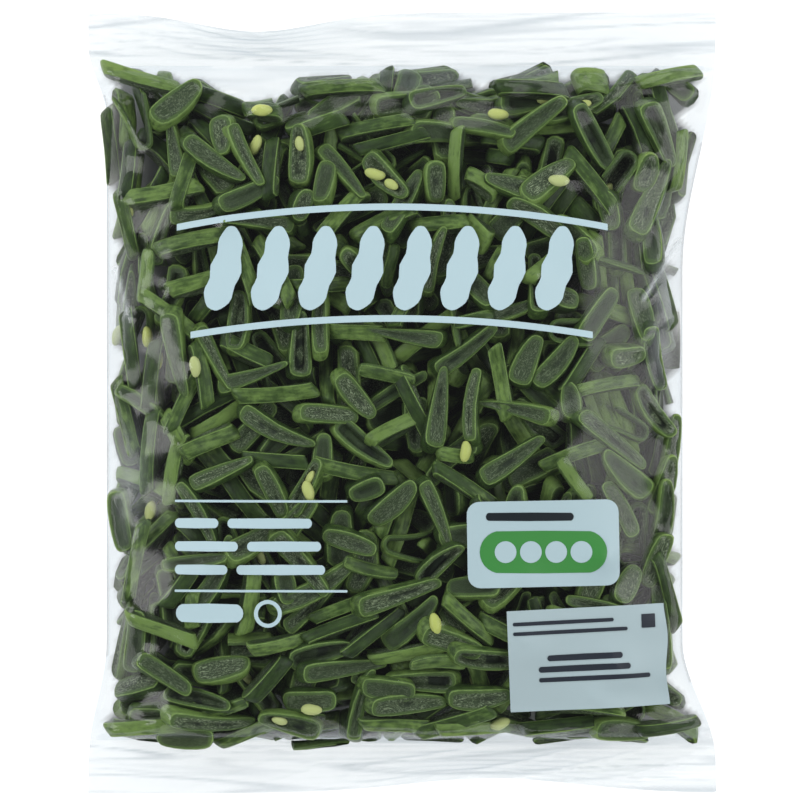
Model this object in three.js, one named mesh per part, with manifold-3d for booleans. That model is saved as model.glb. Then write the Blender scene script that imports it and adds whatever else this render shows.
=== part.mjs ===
// A clear film pillow bag filled with sliced green beans, lying on its back.
// The bag is one sheet of film made into a tube by a fin seal down its back, and closed by a
// crimped seal at each end. Inside lie flat green bean pods, cut slantwise into short slices,
// with a few pale seeds that have come loose from them.
// Millimetres. +Z is up, +Y points to the top seal, +X is to the right of the front.
// The origin is on the surface that the bag lies on, under the middle of the bag.
import * as THREE from "three";
import { mergeVertices } from "three/addons/utils/BufferGeometryUtils.js";
import Module from "manifold-3d";

// The bag
const bagHalfWidth = 105; // at the end seals, where the film lies flat
const waistHalfWidth = 97; // at mid height, where the fill rounds the tube
const bagHalfLength = 131;
const sealBand = 18; // the crimped band at each end
const sealLine = bagHalfLength - sealBand;
const flareFrom = { leftTop: 96, rightTop: 45, leftBottom: 80, rightBottom: 80 }; // Y where it widens
const frontRise = 30; // from the side creases to the top of the front
const creaseHeight = 10; // of the side creases and end seals above the surface
const filmWall = 0.6; // stands in for film of 0.04 mm
const filmInset = 1.2; // from the pillow's surface in to the film's inner face
const contactHeight = 0.5; // the fin seal lies under the flat of the back
const finWidth = 12;
const finReach = 0.9; // its share of the length between the seals
const ventRadius = 1.2; // stands in for the film's pinholes
const vents = [
  { x: -60, y: 96 },
  { x: 60, y: 96 },
];

// The label on the front
const label = { x: 62.5, y: -86, width: 53, length: 34, thickness: 0.7, degrees: 2.6 };
const labelGap = 0.35; // the glue's place
const labelCells = [8, 6];

// The crimp
const ridgePitch = 3;
const ridgeHeight = 0.45;
const bendLength = 5; // the seal bends up over this length
const topTilt = { base: 12, curl: 48, at: -48, spread: 36 }; // degrees, and mm along X
const bottomTilt = { base: 14, curl: 40, at: 30, spread: 52 };

// The fill
const fillBottom = -111.5;
const fillTop = 106;
const fillDent = { depth: 7, at: -49, spread: 15 };
const fillGap = 0.45; // between the slices and the film
const coreInset = 6; // how far the slices stand out of the heap's middle
const sliceTilt = 0.42; // out of the film's plane, from end to end of the draw, in radians
const sliceSink = 2.4; // the most that a slice lies below its neighbours
const frontRows = { acrossPitch: 25, alongPitch: 17.2, seed: 11 };
const backRows = { acrossPitch: 35, alongPitch: 28, seed: 29 };
const edgeClearance = 6; // from the side creases to the middle of the nearest slice
const endClearance = 5; // from the end of the fill
const sliceLength = { least: 26, most: 38 };
const sliceWidth = { least: 9.4, most: 11.4 }; // the pod's thickness
const sliceThickness = { least: 6, most: 7.6 }; // between the two cuts
const sliceSag = 0.8; // the film's curve over the length of a slice
const cutShear = 0.6; // the pod's axis leans this much to the cut
const slitShare = { length: 0.62, width: 0.3, depth: 1.6 }; // the seed cavity in a cut face
const seedSize = { length: 7.5, width: 4.6, height: 3.4 };
const looseSeeds = [
  // X, Y and the turn about Z in degrees
  [-46.5, 98, 0],
  [-31, -29, 62],
  [-69, 12, 80],
  [21, -16, 118],
  [-86, 22, 80],
  [-85, -36, 95],
  [52, 74, 15],
  [11, -73, 70],
  [32, 97, 10],
  [-30, -103, 5],
];

const acrossCells = 16;
const alongCells = 20;
const coreCells = [acrossCells / 2, alongCells / 2];
const finCells = 16;
const ridgeRows = Math.round((2 * sealBand) / ridgePitch);

const wasm = await Module();
wasm.setup();

// A seeded draw from 0 to 1, so that the heap is the same each time.
function seededDraw(seed) {
  let state = seed >>> 0;
  return () => {
    state = (state + 0x6d2b79f5) >>> 0;
    let mixed = Math.imul(state ^ (state >>> 15), state | 1);
    mixed ^= mixed + Math.imul(mixed ^ (mixed >>> 7), mixed | 61);
    return ((mixed ^ (mixed >>> 14)) >>> 0) / 4294967296;
  };
}

function solidFromGeometry(geometry) {
  const bare = geometry.index ? geometry.toNonIndexed() : geometry.clone();
  bare.deleteAttribute("normal");
  bare.deleteAttribute("uv");
  const merged = mergeVertices(bare, 1e-4);
  return new wasm.Manifold(
    new wasm.Mesh({
      numProp: 3,
      vertProperties: new Float32Array(merged.attributes.position.array),
      triVerts: new Uint32Array(merged.index.array),
    }),
  );
}

function geometryFromSolid(solid) {
  const mesh = solid.getMesh();
  const geometry = new THREE.BufferGeometry();
  geometry.setAttribute("position", new THREE.BufferAttribute(mesh.vertProperties, 3));
  geometry.setIndex(new THREE.BufferAttribute(mesh.triVerts, 1));
  geometry.computeVertexNormals();
  return geometry;
}

function largestBody(solid) {
  return solid.decompose().reduce((a, b) => (a.volume() > b.volume() ? a : b));
}

// The outline: the film is widest at the seals and drawn in where the fill rounds it.
function edgeX(y, side) {
  const from = flareFrom[(side < 0 ? "left" : "right") + (y > 0 ? "Top" : "Bottom")];
  const flare = THREE.MathUtils.smoothstep(Math.abs(y), from, sealLine + 6);
  return side * (waistHalfWidth + (bagHalfWidth - waistHalfWidth) * flare);
}

const power = (base, exponent) => Math.pow(Math.max(base, 0), exponent);
const bump = (x, { at, spread }) => Math.exp(-(((x - at) / spread) ** 2));

// How far the front stands above the creases and the back hangs below them, as shares from 0 to 1.
// u runs across from crease to crease and v along from seal to seal, both from -1 to 1.
function frontShare(u, v) {
  const across = power(1 - Math.pow(Math.abs(u), 2.6), 0.56);
  const along = v < 0 ? power(1 - Math.pow(-v, 2.8), 0.6) : power(1 - Math.pow(v, 2.3), 0.74);
  return across * along;
}

function backShare(u, v) {
  const across = power(1 - Math.pow(Math.abs(u), 3), 0.6);
  const along = power(1 - Math.pow(Math.abs(v), 3.2), 0.6);
  return Math.min(1, 1.3 * across * along);
}

// A point of the pillow's front (face 1) or back (face -1), drawn in from the creases by inset.
function pillowPoint(u, v, face, inset, extent = { low: -sealLine, high: sealLine }) {
  const low = extent.low + inset;
  const high = extent.high - inset;
  const y = low + ((v + 1) / 2) * (high - low);
  const left = edgeX(y, -1) + inset;
  const right = edgeX(y, 1) - inset;
  const x = left + ((u + 1) / 2) * (right - left);
  const backDrop = creaseHeight - contactHeight - filmWall;
  const z =
    face > 0
      ? creaseHeight + (frontRise - inset) * frontShare(u, v)
      : creaseHeight - (backDrop - inset) * backShare(u, v);
  return new THREE.Vector3(x, y, z);
}

// Rows and columns crowd towards the edges, where the pillow turns fastest.
const eased = (share) => Math.sin((share - 0.5) * Math.PI * 0.97) / Math.sin(Math.PI * 0.485);
const columnsAt = (count) => Array.from({ length: count + 1 }, (_, k) => eased(k / count));

// Closes a front sheet and a back sheet of points, which share their rim, into one surface.
function closedSheets(front, back) {
  const corners = [];
  const put = (a, b, c) => corners.push(...a.toArray(), ...b.toArray(), ...c.toArray());
  for (let row = 0; row + 1 < front.length; row += 1)
    for (let column = 0; column + 1 < front[row].length; column += 1) {
      const [a, b] = [front[row][column], front[row][column + 1]];
      const [d, c] = [front[row + 1][column], front[row + 1][column + 1]];
      put(a, b, c);
      put(a, c, d);
      const [e, f] = [back[row][column], back[row][column + 1]];
      const [h, g] = [back[row + 1][column], back[row + 1][column + 1]];
      put(e, g, f);
      put(e, h, g);
    }
  const geometry = new THREE.BufferGeometry();
  geometry.setAttribute("position", new THREE.Float32BufferAttribute(corners, 3));
  return solidFromGeometry(geometry);
}

// A closed pillow inside the film, drawn in by inset and optionally ending short of the top seal.
function pillow(inset, cells = [acrossCells, alongCells], extent) {
  const us = columnsAt(cells[0]);
  const vs = columnsAt(cells[1]);
  const sheet = (face) => vs.map((v) => us.map((u) => pillowPoint(u, v, face, inset, extent)));
  return closedSheets(sheet(1), sheet(-1));
}

// The rows of one crimped seal, from the seal line outwards. The band curls up as it goes out.
function sealRows(us, end) {
  const tilt = end > 0 ? topTilt : bottomTilt;
  const step = sealBand / ridgeRows;
  const columns = us.map((u) => {
    const start = pillowPoint(u, end, 1, 0);
    const most = THREE.MathUtils.degToRad(tilt.base + tilt.curl * bump(start.x, tilt));
    const rim = Math.abs(u) < 1 ? filmWall : 0;
    let [out, up] = [0, creaseHeight];
    const points = [];
    for (let row = 0; row <= ridgeRows; row += 1) {
      const angle = most * THREE.MathUtils.smoothstep(row * step, 0, bendLength);
      const last = row === ridgeRows;
      const ridge = row === 0 || last ? 0 : (ridgeHeight / 2) * (row % 2 ? 1 : -1);
      const x = edgeX(end * (sealLine + row * step), Math.sign(u) || 1);
      const spot = (off) =>
        new THREE.Vector3(
          u === 0 ? 0 : x * Math.abs(u),
          end * (sealLine + out - Math.sin(angle) * off),
          up + Math.cos(angle) * off,
        );
      const half = last ? 0 : rim;
      points.push({ front: spot(ridge + half), back: spot(ridge - half) });
      out += step * Math.cos(angle);
      up += step * Math.sin(angle);
    }
    return points;
  });
  const sheet = (face) =>
    Array.from({ length: ridgeRows + 1 }, (_, row) => columns.map((points) => points[row][face]));
  return { front: sheet("front"), back: sheet("back") };
}

// The fin seal: a strip of doubled film folded flat down the middle of the back.
function finSeal() {
  const profile = [];
  for (let k = 0; k <= finCells; k += 1) {
    const v = finReach * eased(k / finCells);
    const here = pillowPoint(0, v, -1, 0);
    const ahead = pillowPoint(0, v + 0.01, -1, 0);
    const behind = pillowPoint(0, v - 0.01, -1, 0);
    const down = new THREE.Vector2(ahead.z - behind.z, behind.y - ahead.y).normalize();
    profile.push({ y: here.y, z: here.z - filmWall, down });
  }
  const moved = (off, { y, z, down }) => new THREE.Vector2(y, z).addScaledVector(down, off);
  const side = (off) => profile.map((point) => moved(off, point));
  const outline = new THREE.Shape([...side(contactHeight), ...side(-filmWall / 2).reverse()]);
  const strip = new THREE.ExtrudeGeometry(outline, { depth: finWidth, bevelEnabled: false });
  strip.applyMatrix4(
    new THREE.Matrix4().makeBasis(
      new THREE.Vector3(0, 1, 0),
      new THREE.Vector3(0, 0, 1),
      new THREE.Vector3(1, 0, 0),
    ),
  );
  strip.translate(-finWidth / 2, 0, 0);
  return solidFromGeometry(strip);
}

// The film: an outer surface with both seals, hollowed, with its fin seal and vents.
function filmBag() {
  const us = columnsAt(acrossCells);
  const vs = columnsAt(alongCells);
  const wall = (u) => (Math.abs(u) < 1 ? filmWall : 0);
  const bodyPoint = (u, v, face) =>
    pillowPoint(u, v, face, 0).add(new THREE.Vector3(0, 0, face * wall(u)));
  const body = (face) => vs.slice(1, -1).map((v) => us.map((u) => bodyPoint(u, v, face)));
  const top = sealRows(us, 1);
  const bottom = sealRows(us, -1);
  const front = [...bottom.front.slice().reverse(), ...body(1), ...top.front];
  const back = [...bottom.back.slice().reverse(), ...body(-1), ...top.back];
  const cavity = pillow(filmInset);
  let film = closedSheets(front, back).subtract(cavity).add(finSeal());
  for (const { x, y } of vents) {
    const vent = new THREE.CylinderGeometry(ventRadius, ventRadius, creaseHeight, 8);
    vent.rotateX(Math.PI / 2);
    vent.translate(x, y, 0);
    film = film.subtract(solidFromGeometry(vent));
  }
  return film;
}

// One slice of pod: a long oval between two parallel cuts, leaning because the cut is slanting.
function podSlice(length, width, thickness, withSlit) {
  const outline = [
    [0.5, -0.16],
    [0.38, 0.5],
    [-0.36, 0.5],
    [-0.5, 0.16],
    [-0.38, -0.5],
    [0.36, -0.5],
  ].map(([along, across]) => new THREE.Vector2(along * length, across * width));
  const body = new THREE.ExtrudeGeometry(new THREE.Shape(outline), {
    depth: thickness,
    bevelEnabled: false,
  });
  body.translate(0, 0, -thickness / 2);
  body.applyMatrix4(new THREE.Matrix4().makeShear(0, 0, 0, 0, cutShear, 0));
  const solid = solidFromGeometry(body);
  if (!withSlit) return solid;
  const slit = new THREE.CylinderGeometry(0.5, 0.5, slitShare.depth * 2, 4);
  slit.rotateX(Math.PI / 2);
  slit.scale(length * slitShare.length, width * slitShare.width, 1);
  slit.translate((cutShear * thickness) / 2, 0, thickness / 2);
  return solid.subtract(solidFromGeometry(slit));
}

// The height at X, Y of a pillow drawn in by inset.
function heightAt(x, y, face, inset) {
  const [left, right] = [edgeX(y, -1), edgeX(y, 1)];
  const u = THREE.MathUtils.clamp((2 * x - left - right) / (right - left), -1, 1);
  const v = THREE.MathUtils.clamp(y / sealLine, -1, 1);
  return pillowPoint(u, v, face, inset).z;
}

// The label: a thin plate that follows the front.
function dateLabel() {
  const plate = new THREE.BoxGeometry(label.width, label.length, label.thickness, ...labelCells, 1);
  plate.rotateZ(THREE.MathUtils.degToRad(label.degrees));
  plate.translate(label.x, label.y, filmWall + labelGap + label.thickness / 2);
  const place = plate.attributes.position;
  for (let k = 0; k < place.count; k += 1)
    place.setZ(k, place.getZ(k) + heightAt(place.getX(k), place.getY(k), 1, 0));
  return plate;
}

// The film's inner surface at X, Y, and the direction that it faces.
const insideFilm = (x, y, face) => heightAt(x, y, face, filmInset + fillGap - filmWall);

function facing(x, y, face) {
  const step = 4;
  const slopeX = (insideFilm(x + step, y, face) - insideFilm(x - step, y, face)) / (2 * step);
  const slopeY = (insideFilm(x, y + step, face) - insideFilm(x, y - step, face)) / (2 * step);
  return new THREE.Vector3(-slopeX, -slopeY, 1).multiplyScalar(face).normalize();
}

const fillEnd = (x) => fillTop - fillDent.depth * bump(x, fillDent);

// Slices lie level near the bottom seal and along the creases near the sides, and any way between.
function turnOf(x, y, draw) {
  const nearBottom = THREE.MathUtils.smoothstep(-y, 55, 100);
  const nearSide = THREE.MathUtils.smoothstep(Math.abs(x), 70, 92);
  const any = draw() * Math.PI;
  const level = (draw() - 0.5) * 0.7;
  const along = Math.PI / 2 + (draw() - 0.5) * 0.6;
  if (draw() < nearBottom) return level;
  return draw() < nearSide ? along : any;
}

// One layer of slices just under the film, in staggered rows with each one moved and turned a little.
function sliceLayer(face, rows) {
  const draw = seededDraw(rows.seed);
  const between = ({ least, most }) => least + (most - least) * draw();
  const slices = [];
  let row = 0;
  for (let y = fillBottom + 4; y < fillTop; y += rows.alongPitch) {
    row += 1;
    const shift = row % 2 ? 0 : rows.acrossPitch / 2;
    for (let x = -waistHalfWidth - 2 + shift; x < waistHalfWidth + 4; x += rows.acrossPitch) {
      const atX = x + (draw() - 0.5) * rows.acrossPitch * 0.4;
      const atY = y + (draw() - 0.5) * rows.alongPitch * 0.4;
      const turn = turnOf(atX, atY, draw);
      const length = between(sliceLength);
      const width = between(sliceWidth);
      const thickness = between(sliceThickness);
      const onItsSide = draw() < 0.4;
      const tilt = (draw() - 0.5) * sliceTilt;
      const sunk = sliceSag + draw() * sliceSink;
      const room = Math.abs(edgeX(atY, Math.sign(atX))) - Math.abs(atX);
      if (atY > fillEnd(atX) - endClearance || room < edgeClearance) continue;
      const up = facing(atX, atY, face);
      const along = new THREE.Vector3(Math.cos(turn), Math.sin(turn), 0);
      along.addScaledVector(up, tilt - along.dot(up)).normalize();
      const across = new THREE.Vector3().crossVectors(up, along).normalize();
      up.crossVectors(along, across);
      const basis = onItsSide
        ? new THREE.Matrix4().makeBasis(along, up, across.clone().negate())
        : new THREE.Matrix4().makeBasis(along, across, up);
      const deep = (onItsSide ? width : thickness) / 2 + (Math.abs(tilt) * length) / 4 + sunk;
      const centre = new THREE.Vector3(atX, atY, insideFilm(atX, atY, face)).addScaledVector(up, -deep);
      const slit = face > 0 && !onItsSide;
      const slice = geometryFromSolid(podSlice(length, width, thickness, slit));
      slices.push(solidFromGeometry(slice.applyMatrix4(basis.setPosition(centre))));
    }
  }
  return slices;
}

function seedGeometry(grown) {
  const geometry = new THREE.SphereGeometry(0.5, 8, 5);
  geometry.scale(seedSize.length + grown, seedSize.width + grown, seedSize.height + grown);
  return geometry;
}

function seedPlace([x, y, degrees]) {
  const up = facing(x, y, 1);
  const turn = THREE.MathUtils.degToRad(degrees);
  const along = new THREE.Vector3(Math.cos(turn), Math.sin(turn), 0);
  along.addScaledVector(up, -along.dot(up)).normalize();
  const centre = new THREE.Vector3(x, y, insideFilm(x, y, 1));
  centre.addScaledVector(up, -seedSize.height / 2 - 1);
  return new THREE.Matrix4()
    .makeBasis(along, new THREE.Vector3().crossVectors(up, along), up)
    .setPosition(centre);
}

// The heap: a plain middle with the slices standing out of it, kept clear of the film and seeds.
function beanHeap() {
  const middle = pillow(coreInset, coreCells, { low: fillBottom, high: fillTop - 2 });
  const slices = [...sliceLayer(1, frontRows), ...sliceLayer(-1, backRows)];
  let heap = wasm.Manifold.union([middle, ...slices]).intersect(pillow(filmInset + fillGap, coreCells));
  for (const seed of looseSeeds)
    heap = heap.subtract(solidFromGeometry(seedGeometry(0.8).applyMatrix4(seedPlace(seed))));
  return largestBody(heap);
}

const filmFinish = new THREE.MeshStandardMaterial({
  color: 0xdcebf0,
  roughness: 0.15,
  metalness: 0,
  transparent: true,
  opacity: 0.3,
});
const beanFinish = new THREE.MeshStandardMaterial({ color: 0x4a7030, roughness: 0.45, metalness: 0 });
const labelFinish = new THREE.MeshStandardMaterial({ color: 0xbdccd2, roughness: 0.5, metalness: 0 });
const seedFinish = new THREE.MeshStandardMaterial({ color: 0xc9cf7a, roughness: 0.5, metalness: 0 });

function named(name, geometry, finish) {
  const mesh = new THREE.Mesh(geometry, finish);
  mesh.name = name;
  return mesh;
}

const bag = new THREE.Group();
bag.add(named("film_bag", geometryFromSolid(filmBag()), filmFinish));
bag.add(named("date_label", dateLabel(), labelFinish));
bag.add(named("bean_slices", geometryFromSolid(beanHeap()), beanFinish));
looseSeeds.forEach((seed, k) => {
  const mesh = named("loose_seed_" + (k + 1), seedGeometry(0), seedFinish);
  mesh.applyMatrix4(seedPlace(seed));
  bag.add(mesh);
});

export default bag;
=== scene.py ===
# A clear film bag of sliced green beans, lying on its back with the front up.
import math
import random
import bpy
import numpy as np
from mathutils import Euler, Matrix, Vector, noise
from mathutils.bvhtree import BVHTree


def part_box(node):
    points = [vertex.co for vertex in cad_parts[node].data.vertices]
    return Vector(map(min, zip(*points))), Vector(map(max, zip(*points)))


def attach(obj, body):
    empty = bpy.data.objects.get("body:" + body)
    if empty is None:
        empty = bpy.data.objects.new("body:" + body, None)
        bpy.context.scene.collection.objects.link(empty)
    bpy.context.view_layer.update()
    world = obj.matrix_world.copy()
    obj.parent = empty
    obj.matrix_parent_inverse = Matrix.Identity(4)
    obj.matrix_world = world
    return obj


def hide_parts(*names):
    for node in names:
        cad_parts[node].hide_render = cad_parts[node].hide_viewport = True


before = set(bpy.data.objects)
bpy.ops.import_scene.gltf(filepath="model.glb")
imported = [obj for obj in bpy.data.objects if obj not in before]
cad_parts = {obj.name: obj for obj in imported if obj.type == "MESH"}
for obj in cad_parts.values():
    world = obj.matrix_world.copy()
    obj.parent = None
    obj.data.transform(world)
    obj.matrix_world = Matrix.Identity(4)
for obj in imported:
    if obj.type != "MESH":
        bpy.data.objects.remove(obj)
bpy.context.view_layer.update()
mm = 0.001
print("frame loaded")

# Helpers for modelling by hand
def clearSelection():
    if bpy.context.mode != "OBJECT":
        bpy.ops.object.mode_set(mode="OBJECT")
    bpy.ops.object.select_all(action="DESELECT")


def activate(piece):
    clearSelection()
    piece.select_set(True)
    bpy.context.view_layer.objects.active = piece


def editFaces(piece, wanted):
    # Goes to edit mode with the faces selected that wanted(face) picks.
    activate(piece)
    bpy.ops.object.mode_set(mode="EDIT")
    bpy.ops.mesh.select_mode(type="FACE")
    bpy.ops.mesh.select_all(action="DESELECT")
    bpy.ops.object.mode_set(mode="OBJECT")
    for face in piece.data.polygons:
        face.select = wanted(face)
    bpy.ops.object.mode_set(mode="EDIT")


def editPoints(piece, wanted):
    activate(piece)
    bpy.ops.object.mode_set(mode="EDIT")
    bpy.ops.mesh.select_mode(type="VERT")
    bpy.ops.mesh.select_all(action="DESELECT")
    bpy.ops.object.mode_set(mode="OBJECT")
    for point in piece.data.vertices:
        point.select = wanted(point.co)
    bpy.ops.object.mode_set(mode="EDIT")


def applyPlace(piece):
    activate(piece)
    bpy.ops.object.transform_apply(location=True, rotation=True, scale=True)


def applyModifiers(piece):
    activate(piece)
    for modifier in list(piece.modifiers):
        bpy.ops.object.modifier_apply(modifier=modifier.name)


def joined(pieces, name):
    clearSelection()
    for piece in pieces:
        piece.select_set(True)
    bpy.context.view_layer.objects.active = pieces[0]
    bpy.ops.object.join()
    pieces[0].name = name
    pieces[0].data.name = name
    return pieces[0]


def numbers(mesh, name, kind="FLOAT"):
    return mesh.attributes.get(name) or mesh.attributes.new(name, kind, "POINT")


# Materials
def newMaterial(name, colour):
    material = bpy.data.materials.new(name)
    material.use_nodes = True
    material.diffuse_color = colour
    nodes = material.node_tree.nodes
    shader = nodes["Principled BSDF"]
    shader.inputs["Base Color"].default_value = colour
    return material, nodes, material.node_tree.links, shader


def attributeNode(nodes, name):
    node = nodes.new("ShaderNodeAttribute")
    node.attribute_name = name
    return node


def rampNode(nodes, stops):
    node = nodes.new("ShaderNodeValToRGB")
    ramp = node.color_ramp
    while len(ramp.elements) > 1:
        ramp.elements.remove(ramp.elements[-1])
    ramp.elements[0].position, ramp.elements[0].color = stops[0][0], (*stops[0][1], 1)
    for place, colour in stops[1:]:
        ramp.elements.new(place).color = (*colour, 1)
    return node


def mixNode(nodes, links, factor, first, second, blend="MIX"):
    # Each of factor, first and second is a socket or a plain value.
    node = nodes.new("ShaderNodeMix")
    node.data_type = "RGBA"
    node.blend_type = blend
    for key, value in ((0, factor), (6, first), (7, second)):
        if hasattr(value, "links"):
            links.new(value, node.inputs[key])
        else:
            node.inputs[key].default_value = value
    return node.outputs[2]


def mathNode(nodes, links, operation, *values, clamp=False):
    node = nodes.new("ShaderNodeMath")
    node.operation = operation
    node.use_clamp = clamp
    for k, value in enumerate(values):
        if hasattr(value, "links"):
            links.new(value, node.inputs[k])
        else:
            node.inputs[k].default_value = value
    return node.outputs[0]


def risenAbove(nodes, links, value, least, gain):
    # How far a value stands above the least, times the gain, from 0 to 1.
    over = mathNode(nodes, links, "SUBTRACT", value, least, clamp=True)
    return mathNode(nodes, links, "MULTIPLY", over, gain, clamp=True)


def grainNoise(nodes, links, stretch, scale, detail=3, roughness=0.5):
    # Noise in the slice's own millimetres, so that it follows each slice.
    grain = attributeNode(nodes, "grain")
    mapping = nodes.new("ShaderNodeMapping")
    mapping.inputs["Scale"].default_value = stretch
    texture = nodes.new("ShaderNodeTexNoise")
    texture.inputs["Scale"].default_value = scale
    texture.inputs["Detail"].default_value = detail
    texture.inputs["Roughness"].default_value = roughness
    links.new(grain.outputs["Vector"], mapping.inputs["Vector"])
    links.new(mapping.outputs["Vector"], texture.inputs["Vector"])
    return texture.outputs["Fac"]


def bumpNode(nodes, links, shader, height, strength, distance):
    bump = nodes.new("ShaderNodeBump")
    bump.inputs["Strength"].default_value = strength
    bump.inputs["Distance"].default_value = distance
    links.new(height, bump.inputs["Height"])
    links.new(bump.outputs["Normal"], shader.inputs["Normal"])


podColours = {
    "skinDark": (0.011, 0.023, 0.006),
    "skinMid": (0.038, 0.073, 0.015),
    "skinPale": (0.140, 0.222, 0.052),
    "cutEdge": (0.185, 0.280, 0.078),
    "cutRim": (0.062, 0.108, 0.027),
    "flesh": (0.029, 0.048, 0.018),
    "fibre": (0.37, 0.44, 0.27),
    # painted shade for the slit where it gapes
    "slitShade": (0.010, 0.016, 0.009),
    "seed": (0.46, 0.51, 0.10),
    "seedPale": (0.46, 0.51, 0.28),
}


def podSkin():
    # Waxy skin in its own shade, with streaks along the pod and paler patches.
    colours = podColours
    material, nodes, links, shader = newMaterial("podSkin", (*colours["skinMid"], 1))
    tone = attributeNode(nodes, "tone").outputs["Fac"]
    streaks = grainNoise(nodes, links, (0.10, 0.6, 0.6), 1.5, 4)
    patches = grainNoise(nodes, links, (0.5, 0.5, 0.5), 0.5, 3, 0.6)
    shade = mathNode(nodes, links, "MULTIPLY_ADD", tone, 0.55, -0.22)
    along = mathNode(nodes, links, "MULTIPLY", streaks, 0.8)
    drawn = mathNode(nodes, links, "MULTIPLY_ADD", patches, 0.6, along)
    stops = [(0.36, colours["skinDark"]), (0.72, colours["skinMid"]), (1.0, colours["skinPale"])]
    ramp = rampNode(nodes, stops)
    links.new(mathNode(nodes, links, "ADD", shade, drawn), ramp.inputs["Fac"])
    links.new(ramp.outputs["Color"], shader.inputs["Base Color"])
    shader.inputs["Roughness"].default_value = 0.32
    shader.inputs["Specular IOR Level"].default_value = 0.6
    fine = grainNoise(nodes, links, (0.5, 1, 1), 1.8, 4, 0.6)
    bumpNode(nodes, links, shader, fine, 0.6, 0.0005)
    return material


def podFlesh():
    # From the skin inwards: a bright thin rim, the dark wall, pale torn fibres along the slit, and painted
    # shade in the slit where it gapes.
    colours = podColours
    material, nodes, links, shader = newMaterial("podFlesh", (*colours["flesh"], 1))
    inward = attributeNode(nodes, "inward").outputs["Fac"]
    wander = grainNoise(nodes, links, (0.6, 0.6, 0.6), 1.0, 3)
    stray = mathNode(nodes, links, "MULTIPLY", mathNode(nodes, links, "SUBTRACT", wander, 0.5), 0.24)
    shifted = mathNode(nodes, links, "ADD", inward, stray)
    ramp = rampNode(
        nodes,
        [
            (0.0, colours["cutEdge"]),
            (0.10, colours["cutEdge"]),
            (0.22, colours["cutRim"]),
            (0.44, colours["cutRim"]),
            (0.58, colours["flesh"]),
        ],
    )
    links.new(shifted, ramp.inputs["Fac"])
    speckle = grainNoise(nodes, links, (1.2, 1.8, 1.6), 2.6, 4, 0.7)
    lift = mathNode(nodes, links, "MULTIPLY_ADD", speckle, 2.6, -0.3)
    mottled = mixNode(nodes, links, 1.0, ramp.outputs["Color"], lift, "MULTIPLY")
    fibres = grainNoise(nodes, links, (0.6, 1.5, 0.9), 2.0, 5, 0.76)
    patch = risenAbove(nodes, links, fibres, 0.50, 7.0)
    rise = risenAbove(nodes, links, shifted, 0.40, 5.0)
    dry = attributeNode(nodes, "dry").outputs["Fac"]
    cover = mathNode(nodes, links, "MULTIPLY", mathNode(nodes, links, "MULTIPLY", rise, patch), dry)
    torn = mixNode(nodes, links, cover, mottled, (*colours["fibre"], 1))
    # Painted shade: the slit is painted near black where it gapes, deepest in.
    length = grainNoise(nodes, links, (0.14, 0.14, 0.14), 1.0, 2)
    gapeShade = risenAbove(nodes, links, length, 0.47, 9.0)
    deep = risenAbove(nodes, links, inward, 0.88, 12.0)
    gap = mathNode(nodes, links, "MULTIPLY", gapeShade, deep)
    colour = mixNode(nodes, links, gap, torn, (*colours["slitShade"], 1))
    links.new(colour, shader.inputs["Base Color"])
    shader.inputs["Roughness"].default_value = 0.34
    bumpNode(nodes, links, shader, fibres, 0.6, 0.0005)
    return material


def seedCoat():
    material, nodes, links, shader = newMaterial("seedCoat", (*podColours["seed"], 1))
    tone = attributeNode(nodes, "tone").outputs["Fac"]
    pale = mathNode(nodes, links, "MULTIPLY", tone, 0.7)
    colour = mixNode(nodes, links, pale, (*podColours["seed"], 1), (*podColours["seedPale"], 1))
    links.new(colour, shader.inputs["Base Color"])
    shader.inputs["Roughness"].default_value = 0.38
    fine = grainNoise(nodes, links, (1, 1, 1), 2.0, 3, 0.6)
    bumpNode(nodes, links, shader, fine, 0.3, 0.0002)
    return material


materials = {"skin": podSkin(), "flesh": podFlesh(), "seed": seedCoat()}
print("materials made")

# The pillow that the filled film takes. Its width and height come from the frame. In metres, and
# side and end are -1 for left and bottom, and 1 for right and top.
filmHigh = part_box("film_bag")[1]
pillow = {
    "waist": {-1: 0.0990, 1: 0.0940},  # how far out each side is
    "halfWidth": filmHigh.x,
    "halfLength": 0.131,
    "sealBand": 0.018,
    "crease": 0.010,  # the height at which the front and the back meet
    "flare": {(-1, 1): 0.096, (1, 1): 0.045, (-1, -1): 0.080, (1, -1): 0.080},
    "flareReach": 0.006,
    # a dome's two powers: how flat it is in the middle and how steep at its edge
    "front": {"across": (2.6, 0.56), "low": (2.8, 0.6), "high": (2.3, 0.74)},
    "back": {"across": (3, 0.6), "along": (3.2, 0.6), "flat": 1.3, "lowest": 0.0007},
}
pillow["sealLine"] = pillow["halfLength"] - pillow["sealBand"]
pillow["rise"] = filmHigh.z - pillow["crease"]


def smoothStep(value, low, high):
    share = np.clip((value - low) / (high - low), 0, 1)
    return share * share * (3 - 2 * share)


def edgeX(y, side):
    # Where the film's side is. It goes out towards the seals, from where the flare starts.
    y = np.asarray(y, dtype=float)
    stop = pillow["sealLine"] + pillow["flareReach"]
    top = smoothStep(np.abs(y), pillow["flare"][(side, 1)], stop)
    low = smoothStep(np.abs(y), pillow["flare"][(side, -1)], stop)
    flare = np.where(y > 0, top, low)
    waist = pillow["waist"][side]
    return side * (waist + (pillow["halfWidth"] - waist) * flare)


def dome(share, powers):
    # 1 in the middle and 0 at the edge.
    flat, steep = powers
    return np.clip(1 - np.abs(share) ** flat, 0, 1) ** steep


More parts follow.
